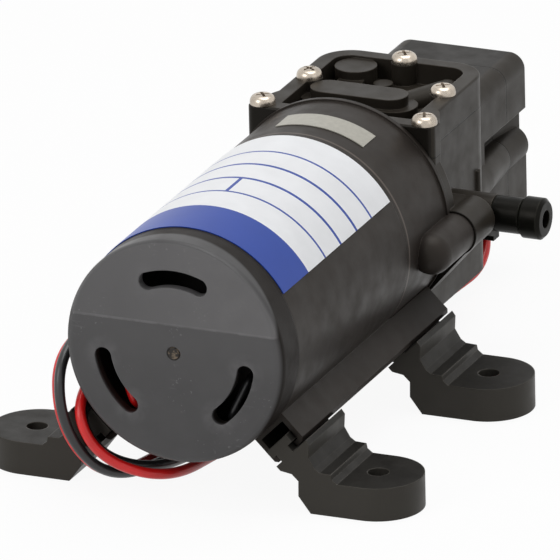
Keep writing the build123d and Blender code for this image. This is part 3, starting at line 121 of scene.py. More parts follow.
MOTOR_RED_ROUTE = [
    (-24.8, -27, 24.6), (-25.5, -47.2, 23.6), (-20.6, -48.4, 9.4), (-4, -45.4, 4.4), (-2.5, -14, 1.3),
    (3.5, 20, 1.3), (4.6, 58, 1.3), (8.9, 85, 3.4), (14.4, 95.4, 7.4), (12.2, 100.3, 12),
]
MOTOR_BLACK_ROUTE = [
    (-23.9, -20, 21.3), (-26.2, -44.7, 20.6), (-21.1, -45.4, 8.4), (-8.4, -40.5, 4.5), (-6.5, -12, 1.3),
    (0.2, 21, 1.3), (1.2, 57, 1.3), (4.4, 84, 3.3), (9.5, 95.4, 7.4), (7.4, 100.3, 11.8),
]


# ---- node helpers ----

def add(tree, kind, **values):
    """A node of that kind, with its plain settings and unlinked sockets set by name."""
    node = tree.nodes.new(kind)
    for name, value in values.items():
        if hasattr(node, name):
            setattr(node, name, value)
        else:
            node.inputs[name.replace("_", " ")].default_value = value
    return node


def feed(tree, value, node, socket):
    """Puts another node's output, a number or a colour into a socket."""
    if isinstance(value, bpy.types.NodeSocket):
        tree.links.new(value, node.inputs[socket])
    else:
        node.inputs[socket].default_value = value


def product(tree, first, second, operation="MULTIPLY"):
    """One sum on two sockets, or on a socket and a number."""
    node = add(tree, "ShaderNodeMath", operation=operation)
    feed(tree, first, node, 0)
    feed(tree, second, node, 1)
    return node.outputs[0]


def over(tree, below, amount, colour, blend="MIX"):
    """Lays a colour over another by that amount."""
    mix = add(tree, "ShaderNodeMix", data_type="RGBA", blend_type=blend)
    feed(tree, amount, mix, "Factor")
    feed(tree, below, mix, 6)
    feed(tree, colour, mix, 7)
    return mix.outputs[2]


def remap(tree, value, start, end, low=0.0, high=1.0):
    """The value's share of the way from start to end, laid out between low and high."""
    share = add(tree, "ShaderNodeMapRange")
    for socket, number in (("From Min", start), ("From Max", end), ("To Min", low), ("To Max", high)):
        share.inputs[socket].default_value = number
    feed(tree, value, share, "Value")
    return share.outputs["Result"]


def parts(tree, vector):
    """A vector's X, Y and Z."""
    axes = add(tree, "ShaderNodeSeparateXYZ")
    feed(tree, vector, axes, "Vector")
    return axes.outputs


def ramp(tree, share, first, second):
    """A colour between two, each given with its place along the share."""
    node = add(tree, "ShaderNodeValToRGB")
    for element, (position, colour) in zip(node.color_ramp.elements, (first, second)):
        element.position = position
        element.color = colour
    feed(tree, share, node, "Fac")
    return node.outputs["Color"]


def noise(tree, vector, size, detail=2.0, roughness=0.5):
    """Soft noise whose patches are about that size, in mm."""
    node = add(tree, "ShaderNodeTexNoise", Scale=1 / (size * MM), Detail=detail, Roughness=roughness)
    feed(tree, vector, node, "Vector")
    return node.outputs["Fac"]


def raised(tree, shader, height, strength, depth, rounded=None):
    """Raises the surface by the height, up to that depth in mm, over the rounded normal where there is one."""
    bump = add(tree, "ShaderNodeBump", Strength=strength, Distance=depth * MM)
    feed(tree, height, bump, "Height")
    if rounded:
        feed(tree, rounded, bump, "Normal")
    feed(tree, bump.outputs["Normal"], shader, "Normal")


def finish(name, colour, roughness, metallic=0.0, specular=0.5):
    """A material with its even values on the shader's own sockets, and the piece's own coordinates."""
    material = bpy.data.materials.new(name)
    material.use_nodes = True
    tree = material.node_tree
    shader = tree.nodes["Principled BSDF"]
    shader.inputs["Base Color"].default_value = (*colour, 1.0)
    shader.inputs["Roughness"].default_value = roughness
    shader.inputs["Metallic"].default_value = metallic
    shader.inputs["Specular IOR Level"].default_value = specular
    material.diffuse_color = (*colour, 1.0)
    return material, tree, shader, add(tree, "ShaderNodeTexCoord").outputs["Object"]


def scaled(colour, factor):
    """The colour made lighter or darker."""
    return (*[min(1.0, channel * factor) for channel in colour], 1.0)


# ---- masks, all from nought to one ----

def band(tree, coordinate, start, end):
    """Nought below the start and one past the end, along one of the piece's axes, in mm."""
    return remap(tree, coordinate, start * MM, end * MM)


def line(tree, coordinate, where, half):
    """One within that half width of a place along an axis, in mm."""
    near = add(tree, "ShaderNodeMath", operation="COMPARE")
    for index, value in enumerate((coordinate, where * MM, half * MM)):
        feed(tree, value, near, index)
    return near.outputs[0]


def from_axis(tree, place, outer, inner, x=0.0, z=AXIS_Z):
    """One nearer than the inner distance to a line along Y, and nought past the outer one, in mm."""
    centre = add(tree, "ShaderNodeMapping", Location=(-x * MM, 0, -z * MM), Scale=(1, 0, 1))
    reach = add(tree, "ShaderNodeVectorMath", operation="LENGTH")
    feed(tree, place, centre, "Vector")
    feed(tree, centre.outputs["Vector"], reach, 0)
    return remap(tree, reach.outputs["Value"], outer * MM, inner * MM)


def upright(tree):
    """Close to one on faces that stand upright, and nought on those that lie level or slope."""
    steepest, sloping, most = 0.15, 0.35, 0.9
    flat = add(tree, "ShaderNodeNewGeometry")
    slope = product(tree, parts(tree, flat.outputs["Normal"])["Z"], 0.0, "ABSOLUTE")
    return remap(tree, slope, sloping, steepest, 0.0, most)


def spots(tree, place, size, low, high, detail=2.0, turn=None, stretch=None):
    """Patches of noise between two thresholds; turned and stretched ones make scratches."""
    if stretch:
        lay = add(tree, "ShaderNodeMapping", Rotation=turn, Scale=stretch)
        feed(tree, place, lay, "Vector")
        place = lay.outputs["Vector"]
    return remap(tree, noise(tree, place, size, detail), low, high)


# ---- finishes ----

CLOUD_DARK, CLOUD_LIGHT = 0.32, 0.70
EDGE_FLAT, EDGE_TURNED = 0.995, 0.80


def cloudy(tree, place, colour, spread, size):
    """Lets the colour drift between a darker and a lighter shade over patches of that size in mm."""
    drift = noise(tree, place, size, detail=4.0, roughness=0.55)
    return ramp(tree, drift, (CLOUD_DARK, scaled(colour, 1 - spread)), (CLOUD_LIGHT, scaled(colour, 1 + spread)))


def painted_edge_highlights(tree, shade, colour, edge, lift):
    """Paints a highlight on the corners, a little lighter, and gives the rounded normal for them; the edge is a
    radius in mm.
    """
    rounded = add(tree, "ShaderNodeBevel", samples=6, Radius=edge * MM).outputs["Normal"]
    flat = add(tree, "ShaderNodeNewGeometry")
    dot = add(tree, "ShaderNodeVectorMath", operation="DOT_PRODUCT")
    feed(tree, rounded, dot, 0)
    feed(tree, flat.outputs["Normal"], dot, 1)
    mask = remap(tree, dot.outputs["Value"], EDGE_FLAT, EDGE_TURNED)
    return rounded, over(tree, shade, mask, scaled(colour, lift))


def moulded(name, colour, roughness, grain=0.35, depth=0.012, edge=0.25, lift=1.5, spread=0.10, specular=0.17,
            joints=(), painted_wall_light=1.0):
    """Moulded plastic or rubber: fine grain, slow drift of tone and gloss, softly rounded corners with a painted
    highlight, upright faces made lighter with painted light by their factor, and a thin darker line at each joint,
    given by its axis, its place and half width in mm, and a factor; a factor above one gives a lighter line, a
    painted highlight, which stays on the motor's own radius."""
    shade_patch, gloss_patch, gloss_drift = 9.0, 5.0, 0.08
    line_amount, bump_strength = 0.9, 0.6
    material, tree, shader, place = finish(name, colour, roughness, specular=specular)
    shader.inputs["Specular Tint"].default_value = (*WARM_SHEEN, 1.0)
    rounded, surface = painted_edge_highlights(tree, cloudy(tree, place, colour, spread, shade_patch), colour, edge, lift)
    # Painted light on upright faces.
    if painted_wall_light > 1:
        surface = over(tree, surface, upright(tree), scaled(colour, painted_wall_light))
    axes = parts(tree, place)
    for axis, where, half, factor in joints:
        amount = product(tree, line(tree, axes[axis], where, half), line_amount)
        # A lighter joint line is a painted highlight, kept to the motor's own radius.
        if factor > 1:
            on_motor = from_axis(tree, place, outer=MOTOR_RADIUS + 0.3, inner=MOTOR_RADIUS + 0.1)
            amount = product(tree, amount, on_motor)
        surface = over(tree, surface, amount, scaled(colour, factor))
    feed(tree, surface, shader, "Base Color")
    flow = noise(tree, place, gloss_patch, detail=3.0)
    gloss = remap(tree, flow, start=0.3, end=0.7, low=roughness - gloss_drift, high=roughness + gloss_drift)
    feed(tree, gloss, shader, "Roughness")
    raised(tree, shader, noise(tree, place, grain, detail=2.0, roughness=0.6), bump_strength, depth, rounded)
    return material


def metal(name, colour, roughness, stretch=(1, 1, 1), grain=0.3, depth=0.004, edge=0.15, lift=1.2, spread=0.08):
    """Bare metal with fine marks drawn out along one direction, and a painted highlight on its corners."""
    shade_patch, smoothest, roughest, bump_strength = 2.5, 0.65, 1.4, 0.5
    material, tree, shader, place = finish(name, colour, roughness, metallic=1.0)
    turn = add(tree, "ShaderNodeMapping", Scale=stretch)
    feed(tree, place, turn, "Vector")
    marks = noise(tree, turn.outputs["Vector"], grain, detail=3.0)
    rounded, surface = painted_edge_highlights(tree, cloudy(tree, place, colour, spread, shade_patch), colour, edge, lift)
    feed(tree, surface, shader, "Base Color")
    gloss = remap(tree, marks, 0.0, 1.0, low=roughness * smoothest, high=roughness * roughest)
    feed(tree, gloss, shader, "Roughness")
    raised(tree, shader, marks, bump_strength, depth, rounded)
    return material


def striped(name, light, dark_share, pitch, axis, roughness, metallic=1.0, waver=0.6):
    """Layers or wires side by side: bands across one axis, with grooves between them."""
    groove_share, bump_strength, wave_factor = 0.3, 0.8, 3.14
    groove_end, layer_start = 0.12, 0.45
    material, tree, shader, place = finish(name, light, roughness, metallic=metallic)
    bands = add(tree, "ShaderNodeTexWave", wave_type="BANDS", bands_direction=axis,
                Scale=1 / (pitch * MM * wave_factor), Distortion=waver, Detail=2.0)
    feed(tree, place, bands, "Vector")
    colour = ramp(tree, bands.outputs["Fac"], (groove_end, scaled(light, dark_share)), (layer_start, (*light, 1.0)))
    feed(tree, colour, shader, "Base Color")
    raised(tree, shader, bands.outputs["Fac"], bump_strength, pitch * groove_share)
    return material


def sheath(name, colour, roughness):
    """Soft vinyl round a lead, with a faint print of the wires inside and dull patches."""
    smoother, duller, coat = 0.08, 0.12, 0.15
    material, tree, shader, place = finish(name, colour, roughness)
    feed(tree, cloudy(tree, place, colour, spread=0.14, size=6.0), shader, "Base Color")
    ripple = noise(tree, place, size=1.1)
    gloss = remap(tree, ripple, 0.0, 1.0, low=roughness - smoother, high=roughness + duller)
    feed(tree, gloss, shader, "Roughness")
    raised(tree, shader, ripple, strength=0.35, depth=0.03)
    shader.inputs["Coat Weight"].default_value = coat
    return material


def ruled_label(name):
    """The white rating label: a blue band at its near end, blue rules round the motor, and one divider."""
    blue, white = (*LABEL_BLUE, 1.0), (*LABEL_WHITE, 1.0)
    material, tree, shader, place = finish(name, LABEL_WHITE, roughness=0.34, specular=0.3)
    axes = parts(tree, place)
    along = band(tree, axes["Y"], LABEL_START, LABEL_END)

    # The ramp's own first stop begins the band, and its own last one goes.
    rows = add(tree, "ShaderNodeValToRGB")
    stops = rows.color_ramp.elements
    rows.color_ramp.interpolation = "CONSTANT"
    stops.new(BAND_TOP).color = white
    for rule in RULES:
        stops.new(rule - RULE_HALF).color = blue
        stops.new(rule + RULE_HALF).color = white
    stops[0].color = blue
    stops.remove(stops[len(stops) - 1])
    feed(tree, along, rows, "Fac")

    # The divider stands between the first two rules.
    off = product(tree, product(tree, axes["X"], DIVIDER_X * MM, "SUBTRACT"), 0.0, "ABSOLUTE")
    thin = product(tree, off, DIVIDER_HALF * MM, "LESS_THAN")
    past_first = product(tree, along, RULES[0], "GREATER_THAN")
    row = product(tree, past_first, product(tree, along, RULES[1], "LESS_THAN"))
    surface = over(tree, rows.outputs["Color"], product(tree, thin, row), blue)
    dust = noise(tree, place, size=7.0, detail=5.0)
    veil = remap(tree, dust, start=0.35, end=0.75, low=1.0, high=0.93)
    feed(tree, over(tree, surface, 1.0, veil, "MULTIPLY"), shader, "Base Color")
    raised(tree, shader, noise(tree, place, size=3.0), strength=0.25, depth=0.02)
    return material


def paper_label(name, colour):
    """The bare silver-grey date label."""
    material, tree, shader, place = finish(name, colour, roughness=0.42)
    feed(tree, cloudy(tree, place, colour, spread=0.07, size=1.2), shader, "Base Color")
    raised(tree, shader, noise(tree, place, size=0.5, detail=3.0), strength=0.3, depth=0.01)
    return material


def vent_halos(tree, place):
    """Rubbed patches round both ends of each vent."""
    halos = []
    for middle in VENT_MIDDLES:
        for angle in (math.radians(middle - VENT_HALF_ANGLE), math.radians(middle + VENT_HALF_ANGLE)):
            x, z = VENT_RADIUS * math.cos(angle), AXIS_Z + VENT_RADIUS * math.sin(angle)
            near = from_axis(tree, place, outer=4.8, inner=2.0, x=x, z=z)
            halos.append(product(tree, near, spots(tree, place, size=2.6, low=0.30, high=0.70)))
    return halos


def cap_finish(name):
    """The end cap: a dull spark-eroded face with painted light above its crease, to the right and towards the top,
    painted highlights on its corners, painted shade on its rim's side, rubbed places and a gate mark.
    """
    material, tree, shader, place = finish(name, CAP_GREY, roughness=0.46, specular=0.3)
    axes = parts(tree, place)
    shade = cloudy(tree, place, CAP_GREY, spread=0.10, size=11.0)
    rounded, colour = painted_edge_highlights(tree, shade, CAP_GREY, edge=0.5, lift=1.5)

    # Where the face gets painted light, and where it is rubbed, dusty or scratched.
    above = band(tree, axes["Z"], start=CREASE_Z - 0.05, end=CREASE_Z + 0.15)
    right = band(tree, axes["X"], start=-12.0, end=12.0)
    high = band(tree, axes["Z"], start=46.0, end=60.0)
    painted_top_light = band(tree, axes["Z"], start=22.0, end=44.0)
    haze = spots(tree, place, size=8.0, low=0.38, high=0.66, detail=3.0)
    crease = line(tree, axes["Z"], where=CREASE_Z + 0.1, half=0.3)
    rub = product(tree, crease, spots(tree, place, size=3.0, low=0.30, high=0.60))
    specks = spots(tree, place, size=0.75, low=0.665, high=0.72)
    dust = product(tree, specks, spots(tree, place, size=9.0, low=0.50, high=0.62))
    streaks = spots(tree, place, size=0.7, low=0.70, high=0.74, detail=0.0, turn=(0, 0.35, 0), stretch=(0.10, 1, 1))
    scratch = product(tree, streaks, spots(tree, place, size=9.0, low=0.56, high=0.64))
    face = from_axis(tree, place, outer=MOTOR_RADIUS - 0.15, inner=MOTOR_RADIUS - 0.6)
    wall = product(tree, 1.0, face, "SUBTRACT")

    # What lies over the grey, in order: its mask, its strength, and how much lighter or darker it is.
    layers = [
        # Painted light: the facet above the crease is lighter, more so on its right, and the face is lighter
        # towards the top.
        (above, 0.8, 1.85),
        (product(tree, above, right), 0.8, 2.85),
        (high, 0.5, 2.7),
        (product(tree, above, haze), 0.5, 2.1),
        (haze, 0.12, 1.7),
        # Painted light, growing towards the top of the face.
        (painted_top_light, 0.45, 1.6),
        *[(halo, 0.6, 2.2) for halo in vent_halos(tree, place)],
        (rub, 0.45, 2.9),
        (dust, 0.3, 4.0),
        (scratch, 0.22, 2.6),
        # Painted shade on the rim's wall, outside the face.
        (wall, 0.9, 0.95),
    ]
    for mask, strength, factor in layers:
        colour = over(tree, colour, product(tree, mask, strength), scaled(CAP_GREY, factor))

    # The side of the rim, darker with painted shade and duller, which starts further back the higher it is above
    # the crease.
    rise = product(tree, product(tree, axes["Z"], CREASE_Z * MM, "SUBTRACT"), 0.0, "MAXIMUM")
    back = product(tree, axes["Y"], product(tree, rise, FACET_LEAN), "SUBTRACT")
    skirt = band(tree, back, start=FACE_Y + FACE_EDGE * 0.4, end=FACE_Y + FACE_EDGE * 2.0)
    colour = over(tree, colour, skirt, scaled(JACKET_BLACK, 0.7))
    feed(tree, remap(tree, skirt, 0.0, 1.0, low=0.30, high=0.10), shader, "Specular IOR Level")

    # The gate mark in the middle, where the plastic went into the mould.
    inside = from_axis(tree, place, outer=GATE_RADIUS, inner=GATE_RADIUS - GATE_SOFT)
    grit = spots(tree, place, size=0.7, low=0.48, high=0.62, detail=3.0)
    gate = product(tree, inside, 0.95)
    colour = over(tree, colour, gate, (*GATE_DARK, 1.0))
    colour = over(tree, colour, product(tree, inside, grit), (*GATE_RUST, 1.0))
    feed(tree, colour, shader, "Base Color")
    feed(tree, remap(tree, haze, 0.0, 1.0, low=0.38, high=0.56), shader, "Roughness")
    grain = spots(tree, place, size=0.5, low=0.2, high=0.8, detail=3.0)
    raised(tree, shader, over(tree, grain, gate, grit), strength=0.7, depth=0.016, rounded=rounded)
    return material


cap_plastic = cap_finish("cap_plastic")
# The lift of each finish sets the painted highlight on its corners; the feet also get painted light on their
# upright faces, and the sleeve's lighter joint line at its end is a painted highlight.
jacket_plastic = moulded("jacket_plastic", JACKET_BLACK, roughness=0.44, grain=0.4, lift=1.9,
                         joints=[("Y", SLEEVE_END_Y, 0.32, 4.5), ("Y", BRACKET_END_Y, 0.25, 0.2)])
head_plastic = moulded("head_plastic", HEAD_BLACK, roughness=0.40, grain=0.4, edge=0.35, lift=2.6,
                       joints=[("Y", BRACKET_END_Y, 0.3, 0.2), ("Z", COVER_JOINT_Z, 0.2, 0.15),
                               ("Y", BOX_JOINT_Y, 0.2, 0.15)])
port_plastic = moulded("port_plastic", PORT_BLACK, roughness=0.34, grain=0.4, edge=0.35, lift=11.0, specular=0.09)
inner_plastic = moulded("inner_plastic", INNER_BLACK, roughness=0.34, edge=0.2, specular=0.5)
foot_rubber = moulded("foot_rubber", FOOT_BLACK, roughness=0.46, grain=0.3, depth=0.02, edge=0.45, lift=13.0,
                      spread=0.35, specular=0.20, painted_wall_light=4.5)
seal_rubber = moulded("seal_rubber", SEAL_BLACK, roughness=0.5, grain=0.5, edge=0.2, lift=1.4)
rod_plastic = moulded("rod_plastic", CREAM, roughness=0.4, grain=0.5, edge=0.2, lift=1.1, spread=0.04)
valve_plastic = moulded("valve_plastic", CREAM, roughness=0.36, grain=0.5, edge=0.15, lift=1.1, spread=0.03)
pressed_carbon = moulded("pressed_carbon", CARBON, roughness=0.5, grain=0.2, edge=0.1, lift=1.3)
ferrite_black = moulded("ferrite_black", FERRITE, roughness=0.55, grain=0.3, edge=0.2, lift=1.3)
screw_nickel = metal("screw_nickel", NICKEL, roughness=0.27, grain=0.22, depth=0.011, lift=1.25, spread=0.20)
# The cross recesses: real grime with painted shade.
recess_grime_and_shade = metal("recess_grime_and_shade", GRIME_AND_SHADE, roughness=0.5, grain=0.2, lift=2.0)
turned_steel = metal("turned_steel", STEEL, roughness=0.28, stretch=(1, 8, 1))
rolled_zinc = metal("rolled_zinc", ZINC, roughness=0.38, stretch=(1, 0.15, 1))
pressed_brass = metal("pressed_brass", BRASS, roughness=0.34)
tinned_wire = metal("tinned_wire", TIN, roughness=0.34)
core_laminations = striped("core_laminations", LAMINATION, dark_share=0.35, pitch=0.5, axis="Y", roughness=0.42,
                           waver=0.2)
enamelled_wire = striped("enamelled_wire", ENAMEL, dark_share=0.22, pitch=0.45, axis="DIAGONAL", roughness=0.3,
                         metallic=0.7, waver=2.2)
segment_copper = striped("segment_copper", COPPER, dark_share=0.5, pitch=0.3, axis="Y", roughness=0.3, waver=0.3)
red_sheath = sheath("red_sheath", SHEATH_RED, roughness=0.34)
black_sheath = sheath("black_sheath", SHEATH_BLACK, roughness=0.36)
rating_print = ruled_label("rating_print")
date_paper = paper_label("date_paper", LABEL_SILVER)

WEARS = {
    cap_plastic: ["end_cap"],
    jacket_plastic: ["motor_sleeve", "motor_bracket"],
    head_plastic: ["crank_housing", "valve_cover", "switch_cover"],
    port_plastic: ["right_port", "left_port", "port_clips"],
    inner_plastic: ["brush_card", "switch_bridge", "micro_switch"],
    foot_rubber: ["foot_front_right", "foot_front_left", "foot_rear_right", "foot_rear_left"],
    seal_rubber: ["diaphragm", "port_seals", "passage_seals", "inlet_valve", "outlet_valve", "switch_membrane",
                  "motor_glands", "box_glands", "side_glands"],
    rod_plastic: ["connecting_rod"],
    valve_plastic: ["valve_plate", "switch_plunger"],
    screw_nickel: ["cover_screws", "bracket_screws", "switch_screws"],
    turned_steel: ["rear_bearing", "front_bearing", "motor_shaft", "crank_bearing", "dowels", "plunger_spring"],
    rolled_zinc: ["motor_can", "eccentric"],
    pressed_brass: ["brush_holders"],
    core_laminations: ["armature_core"],
    enamelled_wire: ["windings"],
    segment_copper: ["commutator"],
    pressed_carbon: ["brushes"],
    ferrite_black: ["magnets"],
    red_sheath: ["brush_tail_red", "supply_lead_red", "motor_lead_red"],
    black_sheath: ["brush_tail_black", "supply_lead_black", "motor_lead_black"],
    rating_print: ["rating_label"],
    date_paper: ["date_label"],
}
for material, names in WEARS.items():
    for name in names:
        node = nodes[name]
        if not node.material_slots:
            node.data.materials.append(material)
        for slot in node.material_slots:
            slot.material = material


# ---- leads ----

STRAND_RADIUS = 0.3
STRANDS = 7
STRAND_TWIST = 2.2
STRAND_PACKING = 0.94
CORE_LENGTH = 5.0
CORE_ROOT = 1.0
CORE_STEPS = 9
CORE_SIDES = 8


def placed_object(name, data):
    """An object in the scene, at the origin, with that mesh, curve, lamp or lens."""
    piece = bpy.data.objects.new(name, data)
    bpy.context.scene.collection.objects.link(piece)
    return piece


def made(name, mesh, material, smooth=True):
    """An object from a finished bmesh, in one material."""
    data = bpy.data.meshes.new(name)
    mesh.to_mesh(data)
    mesh.free()
    data.materials.append(material)
    for face in data.polygons:
        face.use_smooth = smooth
    return placed_object(name, data)


def lead(name, route, material):
    """One free lead: a smooth curve on the points of its route."""
    curve = bpy.data.curves.new(name, "CURVE")
    curve.dimensions = "3D"
    curve.resolution_u = 16
    curve.bevel_depth = LEAD_DIAMETER / 2 * MM
    curve.bevel_resolution = 5
    curve.use_fill_caps = True
    spline = curve.splines.new("NURBS")
    spline.points.add(len(route) - 1)
    for point, (x, y, z) in zip(spline.points, route):
        point.co = (x * MM, y * MM, z * MM, 1.0)
    spline.order_u = 3
    spline.use_endpoint_u = True
    piece = placed_object(name, curve)
    curve.materials.append(material)
    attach(piece, "pump_body")
    return piece


def bare_core(name, route):
    """The tinned wires that stand out of a lead's stripped end, twisted together."""
    last, before = Vector(route[-1]), Vector(route[-2])
    along = (last - before).normalized()
    side = along.cross(Vector((0, 0, 1))).normalized()
    up = side.cross(along)
    mesh = bmesh.new()
    for index in range(STRANDS):
        start_angle = 2 * math.pi * index / (STRANDS - 1)
        offset = 0.0 if index == STRANDS - 1 else 2 * STRAND_RADIUS * STRAND_PACKING
        rings = []
        for step in range(CORE_STEPS):
            share = step / (CORE_STEPS - 1)
            angle = start_angle + STRAND_TWIST * share
            outward = side * math.cos(angle) + up * math.sin(angle)
            centre = last + along * (CORE_LENGTH * share - CORE_ROOT) + outward * offset
            ring = []
            for corner in range(CORE_SIDES):
                turn = 2 * math.pi * corner / CORE_SIDES
                spoke = side * math.cos(turn) + up * math.sin(turn)
                ring.append(mesh.verts.new((centre + spoke * STRAND_RADIUS) * MM))
            rings.append(ring)
        for low, high in zip(rings, rings[1:]):
            for k in range(CORE_SIDES):
                after = (k + 1) % CORE_SIDES
                mesh.faces.new((low[k], low[after], high[after], high[k]))
        mesh.faces.new(rings[0][::-1])
        mesh.faces.new(rings[-1])
    bmesh.ops.recalc_face_normals(mesh, faces=mesh.faces)
    return made(name, mesh, tinned_wire)


for name, route, material, far_end in [
    ("supply_lead_black", SUPPLY_BLACK_ROUTE, black_sheath, "bare"),
    ("supply_lead_red", SUPPLY_RED_ROUTE, red_sheath, "bare"),
    ("motor_lead_red", MOTOR_RED_ROUTE, red_sheath, "object"),
    ("motor_lead_black", MOTOR_BLACK_ROUTE, black_sheath, "object"),
]:
    piece = lead(name + "_line", route, material)
    if far_end == "bare":
        core = bare_core(name + "_core", route)
        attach(core, "pump_body")
    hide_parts(name)


# ---- screws ----

SCREW_INPUTS = [
    ("Head Radius", "NodeSocketFloat"), ("Head Height", "NodeSocketFloat"), ("Shank Radius", "NodeSocketFloat"),
    ("Shank Length", "NodeSocketFloat"), ("Thread Pitch", "NodeSocketFloat"), ("Recess Length", "NodeSocketFloat"),
    ("Recess Width", "NodeSocketFloat"), ("Recess Depth", "NodeSocketFloat"), ("Tilt", "NodeSocketFloat"),
    ("Seed", "NodeSocketInt"), ("Finish", "NodeSocketMaterial"), ("Recess Finish", "NodeSocketMaterial"),
]

# The screws' shapes: how finely they are cut up, the shares and powers of their outlines, and heights in mm.
HEAD_COLUMNS, HEAD_ROWS = 40, 16
SHANK_COLUMNS, ROWS_A_TURN = 20, 6.0
HEAD_SOLE = 1 / HEAD_ROWS
HEAD_ROUNDNESS = 0.55
CROWN_FULLNESS = 0.78
RECESS_DRAFT = 0.38
RECESS_SHARE = 0.68
RECESS_TOP = 0.88
SEAT_TOP = 0.25
SHANK_ROOT = 0.2
GROOVE_DEPTH = 0.24
TIP_RATE, TIP_ROUNDNESS, ROOT_RATE = 14.0, 0.6, 60.0
WELD = 0.001


def position(tree):
    """The X, Y and Z of each point of the mesh."""
    return parts(tree, tree.nodes.new("GeometryNodeInputPosition").outputs["Position"])


def vector(tree, x=0.0, y=0.0, z=0.0):
    """A vector from three numbers or sockets."""
    node = add(tree, "ShaderNodeCombineXYZ")
    for socket, value in (("X", x), ("Y", y), ("Z", z)):
        feed(tree, value, node, socket)
    return node.outputs["Vector"]


def turned(tree, columns, rows, shape):
    """A closed turned surface about Z: shape gives its radius and height from the share along its outline."""
    grid = add(tree, "GeometryNodeMeshGrid", Size_X=1.0, Size_Y=1.0, Vertices_X=columns + 1)
    feed(tree, rows, grid, "Vertices Y")
    flat = position(tree)
    turn = product(tree, product(tree, flat["X"], 0.5, "ADD"), 2 * math.pi)
    share = product(tree, flat["Y"], 0.5, "ADD")
    radius, height = shape(share, turn)
    moved = tree.nodes.new("GeometryNodeSetPosition")
    feed(tree, grid.outputs["Mesh"], moved, "Geometry")
    feed(tree, vector(tree, product(tree, radius, product(tree, turn, 0, "COSINE")),
                      product(tree, radius, product(tree, turn, 0, "SINE")), height), moved, "Position")
    closed = add(tree, "GeometryNodeMergeByDistance", Distance=WELD)
    feed(tree, moved.outputs["Geometry"], closed, "Geometry")
    return closed.outputs["Geometry"]


def wing(tree, given, turn):
    """One arm of the cross recess, drawn in towards its bottom, standing in the top of the head."""
    depth = given.outputs["Recess Depth"]
    cube = tree.nodes.new("GeometryNodeMeshCube")
    feed(tree, vector(tree, given.outputs["Recess Length"], given.outputs["Recess Width"],
                      product(tree, depth, 2.0)), cube, "Size")
    axes = position(tree)
    spread = product(tree, product(tree, product(tree, axes["Z"], depth, "DIVIDE"), RECESS_DRAFT), 1.0, "ADD")
    drawn = tree.nodes.new("GeometryNodeSetPosition")
    feed(tree, cube.outputs["Mesh"], drawn, "Geometry")
    feed(tree, vector(tree, product(tree, axes["X"], spread), product(tree, axes["Y"], spread), axes["Z"]),
         drawn, "Position")
    laid = tree.nodes.new("GeometryNodeTransform")
    laid.inputs["Rotation"].default_value = (0, 0, turn)
    feed(tree, drawn.outputs["Geometry"], laid, "Geometry")
    feed(tree, vector(tree, z=given.outputs["Head Height"]), laid, "Translation")
    return laid.outputs["Geometry"]


def cut_out(tree, solid, tool):
    """The solid without the tool's space."""
    cut = add(tree, "GeometryNodeMeshBoolean", operation="DIFFERENCE", solver="EXACT")
    feed(tree, solid, cut, "Mesh 1")
    feed(tree, tool, cut, "Mesh 2")
    return cut.outputs["Mesh"]


def recess_faces(tree, head, given):
    """Marks the faces inside the cross recess: near the middle, below the crown and above the seat."""
    axes = position(tree)
    across = product(tree, product(tree, axes["X"], 2.0, "POWER"), product(tree, axes["Y"], 2.0, "POWER"), "ADD")
    limit = product(tree, product(tree, given.outputs["Head Radius"], RECESS_SHARE), 2.0, "POWER")
    inner = product(tree, across, limit, "LESS_THAN")
    sunk = product(tree, axes["Z"], product(tree, given.outputs["Head Height"], RECESS_TOP), "LESS_THAN")
    proud = product(tree, axes["Z"], SEAT_TOP, "GREATER_THAN")
    marked = tree.nodes.new("GeometryNodeCaptureAttribute")
    marked.domain = "FACE"
    marked.capture_items.new("BOOLEAN", "Recess")
    feed(tree, head, marked, "Geometry")
    feed(tree, product(tree, product(tree, inner, sunk), proud), marked, "Recess")
    return marked


def enabled(sockets, *names):
    """The sockets in use for the node's kind of data, with those names or all of them."""
    return [socket for socket in sockets if socket.enabled and (not names or socket.name in names)]


def screw_turn(tree, given):
    """The tilt of all the screws, with each one's own turn by chance about its axis."""
    chance = add(tree, "FunctionNodeRandomValue", data_type="FLOAT")
    least, most = enabled(chance.inputs, "Min", "Max")
    least.default_value = 0.0
    most.default_value = math.pi
    feed(tree, given.outputs["Seed"], chance, "Seed")
    turns = []
    for angles in (vector(tree, x=given.outputs["Tilt"]), vector(tree, z=enabled(chance.outputs)[0])):
        turns.append(tree.nodes.new("FunctionNodeEulerToRotation"))
        feed(tree, angles, turns[-1], "Euler")
    both = add(tree, "FunctionNodeRotateRotation", rotation_space="LOCAL")
    feed(tree, turns[0].outputs["Rotation"], both, "Rotation")
    feed(tree, turns[1].outputs["Rotation"], both, "Rotate By")
    return both.outputs["Rotation"]


